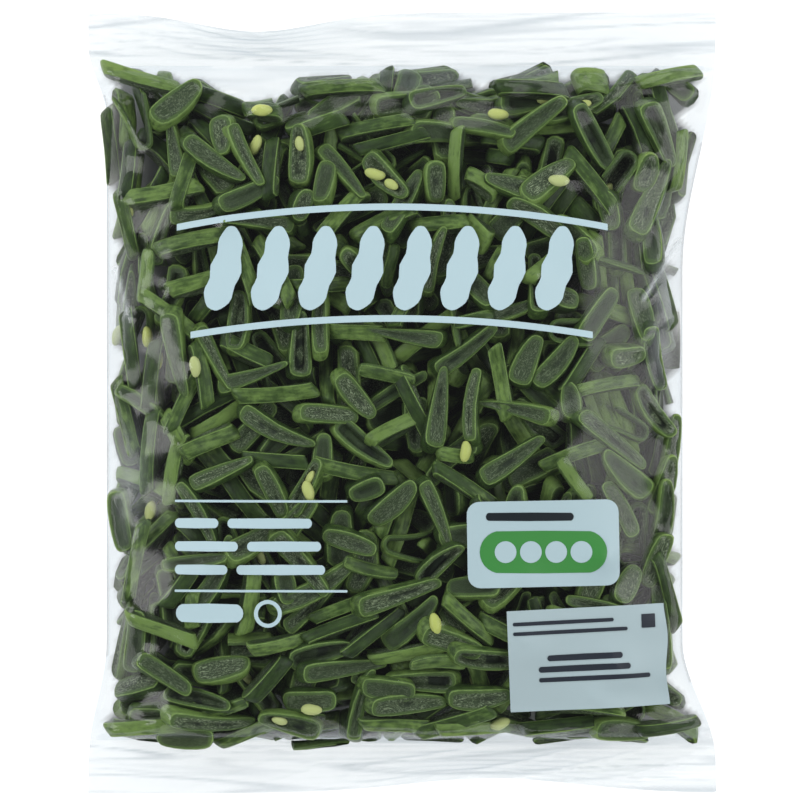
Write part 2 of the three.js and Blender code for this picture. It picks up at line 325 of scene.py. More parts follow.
def pillowHeight(x, y, face):
    x, y = np.asarray(x, dtype=float), np.asarray(y, dtype=float)
    left, right = edgeX(y, -1), edgeX(y, 1)
    u = np.clip((2 * x - left - right) / (right - left), -1, 1)
    v = np.clip(y / pillow["sealLine"], -1, 1)
    crease, front, back = pillow["crease"], pillow["front"], pillow["back"]
    if face > 0:
        along = np.where(v < 0, dome(v, front["low"]), dome(v, front["high"]))
        return crease + pillow["rise"] * dome(u, front["across"]) * along
    pressed = np.minimum(1, back["flat"] * dome(u, back["across"]) * dome(v, back["along"]))
    return crease - (crease - back["lowest"]) * pressed


# Bean slices. A slice is a long oval between two slanting cuts, and its side is the pod's skin.
# Lengths in millimetres. Lean is how far the pod's axis leans to the cuts, slit is the seed
# cavity's share of the length, its share of the width and its depth, share is how common the kind
# is, and bend is in degrees.
kindFields = ("length", "width", "thick", "lean", "taper", "slit", "share", "bend")
kindValues = {
    "oval": (22, 8.3, 5.2, 0.30, 0.85, (0.80, 0.3, 0.7), 16, 7),
    "moist": (21, 8.8, 5.4, 0.35, 0.92, (0.80, 0.6, 0.4), 13, -8),
    "long": (29, 8.4, 5.0, 0.45, 0.62, (0.82, 0.3, 0.9), 13, 22),
    "open": (24, 8.4, 5.0, 0.35, 0.75, (0.95, 1.0, 3.2), 7, 12),
    "short": (15, 8.2, 5.2, 0.25, 0.92, (0.80, 0.4, 0.8), 11, 0),
    "slim": (25, 6.2, 4.6, 0.35, 0.75, (0.80, 0.3, 0.6), 13, -18),
    "chunk": (13, 7.6, 8.0, 0.20, 0.95, (0.80, 0.3, 0.8), 6, 0),
    "tip": (26, 7.8, 4.8, 0.40, 0.34, (0.65, 0.3, 0.6), 5, 26),
    "seeded": (24, 8.8, 5.2, 0.35, 0.75, (0.90, 0.8, 1.8), 5, 12),
}
sliceKinds = {name: dict(zip(kindFields, values)) for name, values in kindValues.items()}
horseshoes = {
    "vee": {"leg": 17, "reach": 1.3, "spread": 5.0, "height": 5.0, "wall": 2.4, "share": 4},
    "loop": {"leg": 13, "reach": 1.9, "spread": 1.2, "height": 5.0, "wall": 2.3, "share": 4},
    "strip": {"leg": 10, "reach": 0, "spread": 0, "height": 5.2, "wall": 2.8, "share": 4, "bend": 14},
}
looseSeed = {"size": (7.2, 3.9, 3.0), "bend": 18, "count": 10}
lyingSeed = {"size": (6.0, 3.4, 2.6), "along": 0.16, "sunk": 0.9}  # in the slit of a seeded slice
shoulders = 1.7  # what the shoulders of the two cuts add to a slice's thickness


def dress(piece):
    # Each slice has the skin first, then the flesh and the seed coat.
    for material in ("skin", "flesh", "seed"):
        piece.data.materials.append(materials[material])
    return piece


def markInward(piece, value):
    # Tags the selected points with how far they lie in from the skin, from 0 to 1.
    bpy.ops.object.mode_set(mode="OBJECT")
    inward = numbers(piece.data, "inward")
    for point in piece.data.vertices:
        if point.select:
            inward.data[point.index].value = value
    bpy.ops.object.mode_set(mode="EDIT")


def cutStep(piece, end, inset, inward, lift=0, stretch=None):
    # One step in across the cut, stretched along and across, lifted, and marked.
    bpy.ops.mesh.inset(thickness=inset, depth=0)
    if stretch:
        bpy.ops.transform.resize(value=(*stretch, 1), center_override=(0, 0, 0))
    if lift:
        bpy.ops.transform.translate(value=(0, 0, end * lift))
    markInward(piece, inward)


def cutFace(piece, kind, end):
    # The cut: a rounded shoulder of skin, the rim, the flesh, and the slit where the seeds lie.
    slitLength, slitWidth, slitDepth = kind["slit"]
    editFaces(piece, lambda face: face.normal.z * end > 0.9)
    cutStep(piece, end, inset=0.32, inward=0, lift=0.52)
    bpy.ops.object.mode_set(mode="OBJECT")
    for face in piece.data.polygons:
        if face.select:
            face.material_index = 1
    bpy.ops.object.mode_set(mode="EDIT")
    cutStep(piece, end, inset=0.5, inward=0.24, lift=0.34)
    cutStep(piece, end, inset=0.75, inward=0.5, lift=-0.08)
    cutStep(piece, end, inset=0.6, inward=0.8, stretch=(slitLength, 1))
    deepest = min(1.0, 0.86 + 0.1 * slitDepth)
    cutStep(piece, end, inset=0.2, inward=deepest, lift=-slitDepth, stretch=(0.95, slitWidth))


def finishPattern(piece, name, bend=0.0):
    # Records where each point lies in the slice, for the grain, and then curves the slice.
    bpy.ops.object.mode_set(mode="OBJECT")
    grain = numbers(piece.data, "grain", "FLOAT_VECTOR")
    for point in piece.data.vertices:
        grain.data[point.index].vector = point.co
    if bend:
        curve = piece.modifiers.new("curve", "SIMPLE_DEFORM")
        curve.deform_method = "BEND"
        curve.deform_axis = "Z"
        curve.angle = math.radians(bend)
        applyModifiers(piece)
    activate(piece)
    bpy.ops.object.shade_smooth_by_angle(angle=math.radians(70))
    piece.name = name
    piece.data.name = name
    return piece


def seedBody(size):
    clearSelection()
    upright = (0, math.pi / 2, 0)
    bpy.ops.mesh.primitive_uv_sphere_add(segments=12, ring_count=7, radius=0.5, rotation=upright)
    piece = dress(bpy.context.object)
    applyPlace(piece)
    piece.scale = size
    applyPlace(piece)
    for face in piece.data.polygons:
        face.material_index = 2
    return piece


def ovalPattern(name, kind):
    clearSelection()
    depth = kind["thick"] - shoulders
    bpy.ops.mesh.primitive_cylinder_add(vertices=12, radius=kind["width"] / 2, depth=depth)
    piece = dress(bpy.context.object)
    activate(piece)
    bpy.ops.object.mode_set(mode="EDIT")
    bpy.ops.mesh.select_all(action="SELECT")
    bpy.ops.mesh.bisect(plane_co=(0, 0, 0), plane_no=(0, 0, 1))
    bpy.ops.transform.resize(value=(1.06, 1.09, 1), center_override=(0, 0, 0))  # a rounder side
    bpy.ops.object.mode_set(mode="OBJECT")
    for point in piece.data.vertices:
        share = abs(point.co.y) * 2 / kind["width"]
        point.co.y = math.copysign(share**0.86 * kind["width"] / 2, point.co.y)  # blunter ends
    stretch = (kind["length"] - kind["width"]) / 2
    for side in (1, -1):
        editPoints(piece, lambda co: co.x * side > 0.1)
        bpy.ops.transform.translate(value=(side * stretch, 0, 0))
    cutFace(piece, kind, 1)
    cutFace(piece, kind, -1)
    for reach in (-0.1, 0.2):
        editPoints(piece, lambda co: co.x > reach * kind["length"])
        bpy.ops.transform.resize(value=(1, kind["taper"] ** 0.5, 1), center_override=(0, 0, 0))
    slide = kind["lean"] * kind["thick"] / 2
    for end in (1, -1):
        editPoints(piece, lambda co: co.z * end > 0)
        bpy.ops.transform.translate(value=(end * slide, 0, 0))
    if name == "seeded":
        seed = seedBody(lyingSeed["size"])
        along, high = kind["length"] * lyingSeed["along"] + slide, kind["thick"] / 2 - lyingSeed["sunk"]
        seed.data.transform(Matrix.Translation((along, 0, high)))
        piece = joined([piece, seed], name)
    return finishPattern(piece, name, kind["bend"])


def horseshoePattern(name, kind):
    # A slice whose slit has come open at one end: two legs of pod wall joined by a bend.
    # With no reach it is one straight strip of wall.
    leg, reach, wall = kind["leg"], kind["reach"] + kind["wall"] / 2, kind["wall"]
    clearSelection()
    bpy.ops.mesh.primitive_circle_add(
        vertices=8,
        radius=1,
        fill_type="NGON",
        location=(-leg, reach, 0),
        rotation=(math.pi / 2, 0, math.pi / 2),
    )
    piece = dress(bpy.context.object)
    piece.scale = (wall / 2, kind["height"] / 2, 1)
    applyPlace(piece)
    inward = numbers(piece.data, "inward")
    for point in piece.data.vertices:
        depth = 0.5 - (point.co.y - reach) / wall
        inward.data[point.index].value = 0.1 if depth < 0.2 else 0.2 + 0.45 * depth
    bpy.ops.object.mode_set(mode="EDIT")
    bpy.ops.mesh.select_all(action="SELECT")
    along = back = {"value": (leg / 2, 0, 0)}
    for step in range(2):
        bpy.ops.mesh.extrude_region_move(TRANSFORM_OT_translate=along)
    if kind["reach"]:
        bpy.ops.mesh.spin(steps=5, angle=math.pi, center=(0, 0, 0), axis=(0, 0, 1))
        back = {"value": (-leg / 2, -kind["spread"] / 2, 0)}
    for step in range(2):
        bpy.ops.mesh.extrude_region_move(TRANSFORM_OT_translate=back)
    bpy.ops.mesh.select_all(action="SELECT")
    bpy.ops.mesh.remove_doubles(threshold=0.01)
    bpy.ops.mesh.normals_make_consistent(inside=False)
    bpy.ops.object.mode_set(mode="OBJECT")
    inward = piece.data.attributes["inward"]
    for face in piece.data.polygons:
        depth = max(inward.data[k].value for k in face.vertices)
        face.material_index = 0 if depth < 0.15 else 1
    return finishPattern(piece, name, kind.get("bend", 0))


patterns = {name: ovalPattern(name, kind) for name, kind in sliceKinds.items()}
patterns.update({name: horseshoePattern(name, kind) for name, kind in horseshoes.items()})
patterns["seed"] = finishPattern(seedBody(looseSeed["size"]), "seed", looseSeed["bend"])
print("patterns", {name: len(piece.data.polygons) for name, piece in patterns.items()})

# The heap. Each slice falls as a plain prism onto the bag's back, and then the front presses them
# down. Lengths in metres. The settling runs enlarged, which suits the rigid bodies, and settle
# brings the heap down to the bag's own thickness.
heap = {
    "count": 830,
    "seed": 5,
    "enlarge": 100,
    "inset": {-1: 0.0022, 1: 0.0008},
    "bottom": -0.1140,
    "top": 0.1125,
    "dent": {"depth": 0.010, "at": -0.049, "spread": 0.014},
    "pressReach": 0.118,
    "columns": 9,
    "rows": 10,
    "jitter": 0.14,
    "layerStep": 0.0150,
    "fallFrames": 42,
    "pressFrames": 32,
    "lidLift": 0.20,
    "press": -0.0045,
    "fillerTries": 500,
    "fillX": (-0.091, 0.088),
    "fillY": (-0.106, 0.100),
    "apart": 0.0085,
    "settle": 0.925,
    "vary": ((0.86, 1.06), (0.92, 1.1), (0.92, 1.1)),
    # Where the slices begin to lie along the bag's edges, over what length, and how far they swing.
    "alongBottom": {"from": 0.06, "over": 0.04, "swing": 0.35},
    "alongSide": {"from": 0.065, "over": 0.02, "swing": 0.3},
    "sheet": (0.204, 0.240),
    "wall": {"steps": 16, "width": 0.22, "thick": 0.02, "topThick": 0.03, "high": 0.26, "middle": 0.12},
    # The slices that are laid on the heap: the spots of each that are felt for, as shares of its
    # length and width, and its most pitch and roll.
    "rest": {"along": (-0.42, -0.21, 0, 0.21, 0.42), "across": (-0.35, 0, 0.35), "pitch": 0.28, "roll": 0.3},
    "gravity": -60,
    "friction": 0.3,
    "margin": 0.015,
    "damping": (0.1, 0.25),  # of moving and of turning
    "mass": 0.01,
}

# The slices that lie topmost: the steps across and down from the upper left of the view, the turn in
# degrees, the kind, and whether the cut or the skin is up. A step is topUnit metres.
topUnit = 0.0003315
topOrigin = (402, 403)
topSlices = [
    (140, 78, -16, "long", "skin"),
    (175, 104, 40, "moist", "cut"),
    (143, 140, -80, "vee", "cut"),
    (211, 162, -37, "long", "cut"),
    (223, 135, -85, "short", "cut"),
    (245, 155, -62, "slim", "cut"),
    (271, 168, 87, "slim", "skin"),
    (302, 157, 88, "seeded", "cut"),
    (342, 88, 3, "long", "skin"),
    (405, 102, 8, "open", "cut"),
    (375, 128, 12, "long", "skin"),
    (392, 142, 14, "slim", "skin"),
    (343, 172, -52, "slim", "cut"),
    (385, 177, -48, "seeded", "cut"),
    (325, 186, 80, "short", "cut"),
    (110, 142, -87, "long", "skin"),
    (532, 89, -4, "long", "skin"),
    (482, 127, -12, "slim", "cut"),
    (533, 125, 37, "long", "cut"),
    (590, 136, -62, "open", "cut"),
    (658, 132, -68, "open", "cut"),
    (629, 162, 45, "loop", "cut"),
    (645, 172, 75, "short", "cut"),
    (653, 201, 65, "long", "cut"),
    (545, 183, 38, "moist", "cut"),
    (590, 181, -52, "long", "skin"),
    (455, 165, 88, "slim", "skin"),
    (434, 183, 90, "short", "cut"),
    (435, 98, 15, "open", "cut"),
    (686, 111, -55, "oval", "cut"),
    (672, 74, 12, "slim", "skin"),
    (592, 81, 0, "chunk", "skin"),
    (680, 160, 82, "slim", "skin"),
    (301, 346, 88, "open", "cut"),
    (176, 352, -80, "long", "cut"),
    (203, 374, -78, "slim", "skin"),
    (215, 357, -65, "slim", "cut"),
    (247, 353, -25, "oval", "skin"),
    (253, 378, 18, "tip", "cut"),
    (276, 394, 6, "long", "skin"),
    (353, 394, -50, "oval", "cut"),
    (275, 430, -24, "long", "cut"),
    (276, 460, -4, "slim", "skin"),
    (222, 472, 22, "slim", "cut"),
    (361, 445, -38, "open", "cut"),
    (326, 414, -2, "oval", "cut"),
    (307, 489, 60, "seeded", "cut"),
    (356, 472, -12, "long", "skin"),
    (146, 405, -35, "slim", "cut"),
    (150, 452, 85, "long", "skin"),
    (127, 416, -75, "long", "skin"),
    (174, 470, 80, "slim", "skin"),
    (209, 441, 25, "oval", "skin"),
    (273, 487, -60, "oval", "cut"),
    (465, 351, 38, "long", "cut"),
    (525, 361, 70, "moist", "cut"),
    (555, 364, 50, "oval", "cut"),
    (582, 364, 57, "slim", "skin"),
    (622, 355, 10, "chunk", "cut"),
    (651, 355, -80, "open", "cut"),
    (439, 410, 83, "long", "cut"),
    (470, 407, 86, "slim", "cut"),
    (517, 407, 167, "tip", "cut"),
    (511, 461, 38, "long", "cut"),
    (607, 439, -40, "long", "cut"),
    (637, 433, -38, "loop", "cut"),
    (651, 412, -55, "open", "cut"),
    (670, 452, 82, "slim", "cut"),
    (572, 454, 20, "slim", "skin"),
    (465, 486, -33, "slim", "skin"),
    (571, 478, -55, "strip", "skin"),
    (412, 401, -65, "slim", "skin"),
    (454, 454, -3, "short", "skin"),
    (570, 402, 90, "chunk", "cut"),
    (664, 485, 75, "oval", "cut"),
    (606, 385, 10, "slim", "skin"),
    (392, 503, 38, "moist", "cut"),
    (389, 545, 165, "vee", "cut"),
    (438, 562, 45, "open", "cut"),
    (437, 510, -65, "slim", "cut"),
    (368, 569, -18, "strip", "skin"),
    (365, 487, 20, "chunk", "cut"),
    (135, 560, 80, "long", "skin"),
    (120, 520, -80, "oval", "cut"),
    (350, 540, -20, "oval", "cut"),
    (250, 545, 30, "oval", "cut"),
    (300, 560, -50, "long", "cut"),
    (200, 510, -60, "slim", "cut"),
    (221, 670, 8, "moist", "cut"),
    (280, 643, 12, "slim", "skin"),
    (320, 652, 14, "open", "cut"),
    (341, 668, 10, "long", "cut"),
    (309, 699, 0, "moist", "cut"),
    (268, 678, 48, "oval", "skin"),
    (224, 708, 18, "strip", "skin"),
    (196, 701, -10, "open", "cut"),
    (138, 703, -2, "long", "skin"),
    (141, 728, 5, "long", "skin"),
    (207, 723, -4, "long", "cut"),
    (183, 738, -3, "moist", "cut"),
    (249, 732, 22, "slim", "skin"),
    (291, 722, 165, "seeded", "cut"),
    (357, 705, 78, "slim", "cut"),
    (340, 625, 22, "slim", "skin"),
    (347, 605, 20, "slim", "skin"),
    (374, 631, 38, "slim", "skin"),
    (163, 674, -30, "oval", "cut"),
    (163, 628, -20, "long", "skin"),
    (396, 595, 18, "long", "cut"),
    (472, 587, 4, "moist", "cut"),
    (412, 625, 42, "long", "cut"),
    (467, 619, -42, "slim", "skin"),
    (449, 638, -22, "moist", "cut"),
    (408, 652, 10, "slim", "skin"),
    (436, 659, -3, "strip", "skin"),
    (482, 657, -8, "open", "cut"),
    (422, 679, 177, "open", "cut"),
    (477, 697, 2, "oval", "cut"),
    (386, 687, -4, "moist", "cut"),
    (405, 704, 4, "long", "cut"),
    (455, 721, 18, "long", "skin"),
    (474, 728, 2, "slim", "skin"),
    (396, 723, -5, "long", "skin"),
    (664, 520, 80, "long", "cut"),
    (655, 560, 70, "oval", "cut"),
    (665, 590, -70, "long", "skin"),
    (560, 728, 5, "long", "skin"),
    (620, 730, -4, "oval", "cut"),
    (670, 728, 8, "slim", "skin"),
]


def listedSlices():
    # The slices of the list, with their places in metres from the bag's middle.
    left, top = topOrigin
    return [
        ((across - left) * topUnit, (top - down) * topUnit, *rest)
        for across, down, *rest in topSlices
    ]


def heapSpan():
    # The heap's left side, width and length.
    left, right = -pillow["waist"][-1] + heap["inset"][-1], pillow["waist"][1] - heap["inset"][1]
    return left, right - left, heap["top"] - heap["bottom"]


def fillTop(x):
    # The heap's upper edge, which has a dent.
    dent = heap["dent"]
    return heap["top"] - dent["depth"] * math.exp(-(((x - dent["at"]) / dent["spread"]) ** 2))


def pressHeight(x, y, face):
    # The film's blunt inside, which the slices settle against.
    left, right = float(edgeX(y, -1)), float(edgeX(y, 1))
    u = min(1.0, abs(2 * x - left - right) / (right - left))
    v = min(1.0, abs(y) / heap["pressReach"])
    across = (1 - u**4) ** 0.5
    along = (1 - v**4) ** 0.5 if y < 0 else (1 - v**2.8) ** 0.6
    if face > 0:
        return pillow["crease"] + (pillow["rise"] - 0.001) * (0.1 + 0.9 * across * along)
    return pillow["crease"] - (pillow["crease"] - 0.0015) * min(1, 0.3 + across * along)


def pressSheet(name, face, enlarge):
    clearSelection()
    bpy.ops.mesh.primitive_grid_add(x_subdivisions=30, y_subdivisions=36, size=1)
    sheet = bpy.context.object
    sheet.name = name
    width, length = heap["sheet"]
    for point in sheet.data.vertices:
        x, y = point.co.x * width, point.co.y * length
        point.co = (x * enlarge, y * enlarge, pressHeight(x, y, face) * enlarge)
    return sheet


def wallBox(name, middle, size, enlarge):
    clearSelection()
    bpy.ops.mesh.primitive_cube_add(size=1, location=[v * enlarge for v in middle])
    wall = bpy.context.object
    wall.scale = [v * enlarge for v in size]
    bpy.ops.object.transform_apply(location=False, rotation=False, scale=True)
    wall.name = name
    return wall


def fallingPrism(name, kind, enlarge):
    # A slice's outer form with few sides, for the settling only.
    clearSelection()
    if "leg" in kind:
        length, thick, lean = 2 * kind["leg"] + 2, kind["height"], 0
        width = kind["wall"]
        if kind["reach"]:
            width = 2 * kind["reach"] + 2 * kind["wall"] + kind["spread"] / 2
    else:
        length, width, thick, lean = kind["length"], kind["width"], kind["thick"], kind["lean"]
    taper = kind.get("taper", 1)
    bpy.ops.mesh.primitive_cylinder_add(vertices=8, radius=0.5, depth=1)
    prism = bpy.context.object
    for point in prism.data.vertices:
        x, y, z = point.co
        side = 0 if abs(x) < 0.1 else math.copysign((length - width) / 2, x)
        narrow = taper if x > 0.1 else 1
        form = Vector((x * width + side + lean * z * thick, y * width * narrow, z * thick))
        point.co = form * (enlarge * mm)
    prism.name = "falling_" + name
    return prism


def nearEdge(reach, edge):
    # How near a place is to an edge, from 0 to 1.
    return min(1, max(0, (reach - edge["from"]) / edge["over"]))


def droppedSlices(prisms, kinds):
    # Layers of slices above the bag, which lie along its edges where they will meet them.
    enlarge, jitter = heap["enlarge"], heap["jitter"]
    bottom, sides = heap["alongBottom"], heap["alongSide"]
    draw = random.Random(heap["seed"])
    names, shares = list(kinds), [kind["share"] for kind in kinds.values()]
    falling = []
    left, wide, long = heapSpan()
    while len(falling) < heap["count"]:
        layer, spot = divmod(len(falling), heap["columns"] * heap["rows"])
        row, column = divmod(spot, heap["columns"])
        name = draw.choices(names, shares)[0]
        x = left + wide * (column + 0.5 + draw.uniform(-jitter, jitter)) / heap["columns"]
        y = heap["bottom"] + long * (row + 0.5 + draw.uniform(-jitter, jitter)) / heap["rows"]
        turn = draw.uniform(0, math.pi)
        if draw.random() < nearEdge(-y, bottom):
            turn = draw.uniform(-bottom["swing"], bottom["swing"])
        elif draw.random() < nearEdge(abs(x), sides):
            turn = math.pi / 2 + draw.uniform(-sides["swing"], sides["swing"])
        podSlice = prisms[name].copy()
        podSlice["kind"] = name
        podSlice.location = (x * enlarge, y * enlarge, (0.014 + layer * heap["layerStep"]) * enlarge)
        podSlice.rotation_euler = Euler((draw.uniform(-math.pi, math.pi), draw.uniform(-0.5, 0.5), turn))
        bpy.context.scene.collection.objects.link(podSlice)
        falling.append(podSlice)
    return falling


def fillerSlices(draw, kinds):
    # Slices for the stretches between the ones above, under which they lie.
    listed = [spot[:2] for spot in listedSlices()]
    names, shares = list(kinds), [kind["share"] for kind in kinds.values()]
    fillers = []
    for attempt in range(heap["fillerTries"]):
        x, y = draw.uniform(*heap["fillX"]), draw.uniform(*heap["fillY"])
        if min(math.hypot(x - a, y - b) for a, b in listed) < heap["apart"] * 1.15:
            continue
        if any(math.hypot(x - filler[0], y - filler[1]) < heap["apart"] for filler in fillers):
            continue
        degrees = draw.uniform(0, 180)
        if abs(y) > 0.088:  # they lie along the film's edges
            degrees = draw.uniform(-20, 20)
        elif abs(x) > 0.08:
            degrees = draw.uniform(70, 110)
        name = draw.choices(names, shares)[0]
        fillers.append((x, y, degrees, name, draw.choice(("cut", "cut", "skin"))))
    return fillers


def laidTopSlices(prisms, kinds):
    # Each of the topmost slices is laid on what is under it, tilted as that lies.
    enlarge, scene, rest = heap["enlarge"], bpy.context.scene, heap["rest"]
    draw = random.Random(heap["seed"] + 3)
    listed = listedSlices()
    laid = []
    for x, y, degrees, name, up in fillerSlices(draw, kinds) + listed:
        kind = kinds[name]
        length = (2 * kind["leg"] if "leg" in kind else kind["length"]) * mm * enlarge
        flat, upright = kind.get("thick", kind.get("height")), kind.get("width", kind.get("wall"))
        tall, wide = (flat, upright) if up == "cut" else (upright, flat)
        tall, wide = tall * mm * enlarge, wide * mm * enlarge
        turn = math.radians(degrees)
        along = Vector((math.cos(turn), math.sin(turn)))
        across = Vector((-math.sin(turn), math.cos(turn)))
        graph = bpy.context.evaluated_depsgraph_get()
        spots = []
        for u in rest["along"]:
            for v in rest["across"]:
                spot = Vector((x, y)) * enlarge + along * length * u + across * wide * v
                found, hit = scene.ray_cast(graph, Vector((*spot, 9)), Vector((0, 0, -1)))[:2]
                spots.append((length * u, wide * v, hit.z if found else 0.6))
        pitch = sum(u * z for u, v, z in spots) / sum(u * u for u, v, z in spots)
        roll = sum(v * z for u, v, z in spots) / sum(v * v for u, v, z in spots)
        pitch = max(-rest["pitch"], min(rest["pitch"], pitch))
        roll = max(-rest["roll"], min(rest["roll"], roll))
        # It rests on the fourth highest of the spots, and no higher than just under the film.
        above = sorted(z - pitch * u - roll * v for u, v, z in spots)
        most = pressHeight(x, y, 1) * enlarge - tall / 2 + 0.12
        podSlice = prisms[name].copy()
        podSlice["kind"] = name
        podSlice["group"] = "slicesTop" if (x, y, degrees, name, up) in listed else "slicesUpper"
        podSlice.location = (x * enlarge, y * enlarge, min(most, above[-4] + tall / 2))
        edgeOn = 0 if up == "cut" else math.pi / 2
        podSlice.rotation_euler = Euler((math.atan(roll) + edgeOn, -math.atan(pitch), turn))
        scene.collection.objects.link(podSlice)
        bpy.context.view_layer.update()
        laid.append(podSlice)
    return laid


def runBodies(slices, sheets, walls):
    # Lets the slices fall, and then the front, the first of the sheets, presses them down.
    scene = bpy.context.scene
    front = sheets[0]
    fall, press = heap["fallFrames"], heap["pressFrames"]
    bpy.ops.rigidbody.world_add()
    world = scene.rigidbody_world
    world.substeps_per_frame, world.solver_iterations = 8, 12
    world.point_cache.frame_end = fall + press + 5
    gravity = tuple(scene.gravity)
    scene.gravity = (0, 0, heap["gravity"])
    bodies = ((slices, "ACTIVE", "CONVEX_HULL"), (sheets, "PASSIVE", "MESH"), (walls, "PASSIVE", "BOX"))
    for group, kind, shape in bodies:
        clearSelection()
        for piece in group:
            piece.select_set(True)
        bpy.context.view_layer.objects.active = group[0]
        bpy.ops.rigidbody.objects_add(type=kind)
        for piece in group:
            body = piece.rigid_body
            body.collision_shape = shape
            body.friction, body.restitution = heap["friction"], 0
            body.use_margin, body.collision_margin = True, heap["margin"]
            if kind == "ACTIVE":
                body.linear_damping, body.angular_damping = heap["damping"]
                body.mass = heap["mass"]
                body.use_deactivation = False
    front.rigid_body.kinematic = True
    for stop, height in ((fall, heap["lidLift"]), (fall + press, heap["press"])):
        front.location.z = height * heap["enlarge"]
        front.keyframe_insert("location", index=2, frame=stop)
    for step in range(1, fall + press + 5):
        scene.frame_set(step)
    graph = bpy.context.evaluated_depsgraph_get()
    places = [podSlice.evaluated_get(graph).matrix_world.copy() for podSlice in slices]
    bpy.ops.rigidbody.world_remove()
    for podSlice, place in zip(slices, places):
        podSlice.matrix_world = place
    scene.gravity = gravity


def bagWalls():
    # Walls round the heap for the settling, in steps that follow the bag's outline.
    enlarge, wall = heap["enlarge"], heap["wall"]
    left, wide, long = heapSpan()
    steps, thick, high, middle = wall["steps"], wall["thick"], wall["high"], wall["middle"]
    place, size = (0, heap["bottom"] - thick / 2, middle), (wall["width"], thick, high)
    walls = [wallBox("wallBottom", place, size, enlarge)]
    for k in range(steps):
        x = left + wide * (k + 0.5) / steps
        place, size = (x, fillTop(x) + wall["topThick"] / 2, middle), (wide / steps, wall["topThick"], high)
        walls.append(wallBox("wallTop", place, size, enlarge))
        y = heap["bottom"] + long * (k + 0.5) / steps
        for side in (-1, 1):
            x = float(edgeX(y, side)) + side * (thick / 2 - heap["inset"][side])
            walls.append(wallBox("wallSide", (x, y, middle), (thick, long / steps, high), enlarge))
    return walls


def settledSlices():
    enlarge = heap["enlarge"]
    kinds = {**sliceKinds, **horseshoes}
    prisms = {name: fallingPrism(name, kind, enlarge) for name, kind in kinds.items()}
    for prism in prisms.values():
        prism.location.z = -50
    slices = droppedSlices(prisms, kinds)
    front, back = pressSheet("pressFront", 1, enlarge), pressSheet("pressBack", -1, enlarge)
    walls = bagWalls()
    runBodies(slices, [front, back], walls)
    print("heap settled")
    for piece in [front, back, *walls]:
        bpy.data.objects.remove(piece)
    slices += laidTopSlices(prisms, kinds)
    shrink = Matrix.Diagonal((1 / enlarge, 1 / enlarge, 1 / enlarge, 1))
    grow = Matrix.Diagonal((enlarge * mm, enlarge * mm, enlarge * mm, 1))
    settled = []
    for podSlice in slices:
        place = shrink @ podSlice.matrix_world @ grow
        place.translation.z *= heap["settle"]
        settled.append((podSlice["kind"], place, podSlice.get("group")))
    for piece in [*slices, *prisms.values()]:
        bpy.data.objects.remove(piece)
    return settled


settled = settledSlices()
print("settled", len(settled))

# How far a copy's form strays from its pattern: its waist, twist, wave, and curve to the side and up.
stray = {"waist": 0.13, "twist": 0.28, "wave": 0.018, "curve": 0.15, "lift": 0.08}
seedStray = {"waist": 0.05, "curve": 0.06}


def placedCopy(name, place, draw):
    # A copy with its own curve, waist, tone and grain.
    most = {**stray, **seedStray} if name == "seed" else stray
    piece = patterns[name].copy()
    piece.data = patterns[name].data.copy()
    mesh = piece.data
    count = len(mesh.vertices)
    flat = np.empty(count * 3)
    mesh.vertices.foreach_get("co", flat)
    points = flat.reshape(-1, 3)
    half = np.abs(points[:, 0]).max()
    along = points[:, 0] / half
    waist = np.sin(2.4 * along + draw.uniform(0, 6.28)) - draw.random() * along
    points[:, 1] *= 1 + most["waist"] * waist
    turn = draw.uniform(-most["twist"], most["twist"]) * along
    sideways = points[:, 1] * np.cos(turn) - points[:, 2] * np.sin(turn)
    points[:, 2] = points[:, 1] * np.sin(turn) + points[:, 2] * np.cos(turn)
    points[:, 1] = sideways + most["wave"] * half * np.sin(5 * along + draw.uniform(0, 6.28))
    points[:, 1] += half * draw.uniform(-most["curve"], most["curve"]) * (along**2 - 0.33)
    points[:, 2] += half * draw.uniform(-most["lift"], most["lift"]) * (along**2 - 0.33)
    mesh.vertices.foreach_set("co", points.ravel())
    numbers(mesh, "tone").data.foreach_set("value", [draw.random()] * count)
    numbers(mesh, "dry").data.foreach_set("value", [draw.random()] * count)
    grain = mesh.attributes["grain"]
    vectors = np.empty(count * 3)
    grain.data.foreach_get("vector", vectors)
    shift = np.array([draw.uniform(0, 900), draw.uniform(0, 900), draw.uniform(0, 900)])
    grain.data.foreach_set("vector", (vectors.reshape(-1, 3) + shift).ravel())
    mesh.transform(place)
    bpy.context.scene.collection.objects.link(piece)
    return piece


def liesInside(name, place):
    # Whether a slice's ends and sides are inside the film's outline.
    kind = {**sliceKinds, **horseshoes}[name]
    half = (kind["leg"] if "leg" in kind else kind["length"] / 2) - 0.5
    side = kind.get("width", 5) / 2 - 1
    for reach in ((half, 0, 0), (-half, 0, 0), (0, side, 0), (0, -side, 0)):
        tip = place @ Vector(reach)
        inside = float(edgeX(tip.y, -1)) + 0.001 < tip.x < float(edgeX(tip.y, 1)) - 0.001
        low, high = heap["bottom"] - 0.001, heap["top"] + 0.003
        if not inside or not low < tip.y < high or not 0 < tip.z < 0.041:
            return False
    return True


def keptOffBack(piece):
    # A slice against the back is pressed flat there.
    flat = np.empty(len(piece.data.vertices) * 3)
    piece.data.vertices.foreach_get("co", flat)
    points = flat.reshape(-1, 3)
    points[:, 2] = np.maximum(points[:, 2], pillowHeight(points[:, 0], points[:, 1], -1) + 0.0004)
    piece.data.vertices.foreach_set("co", points.ravel())
    return piece


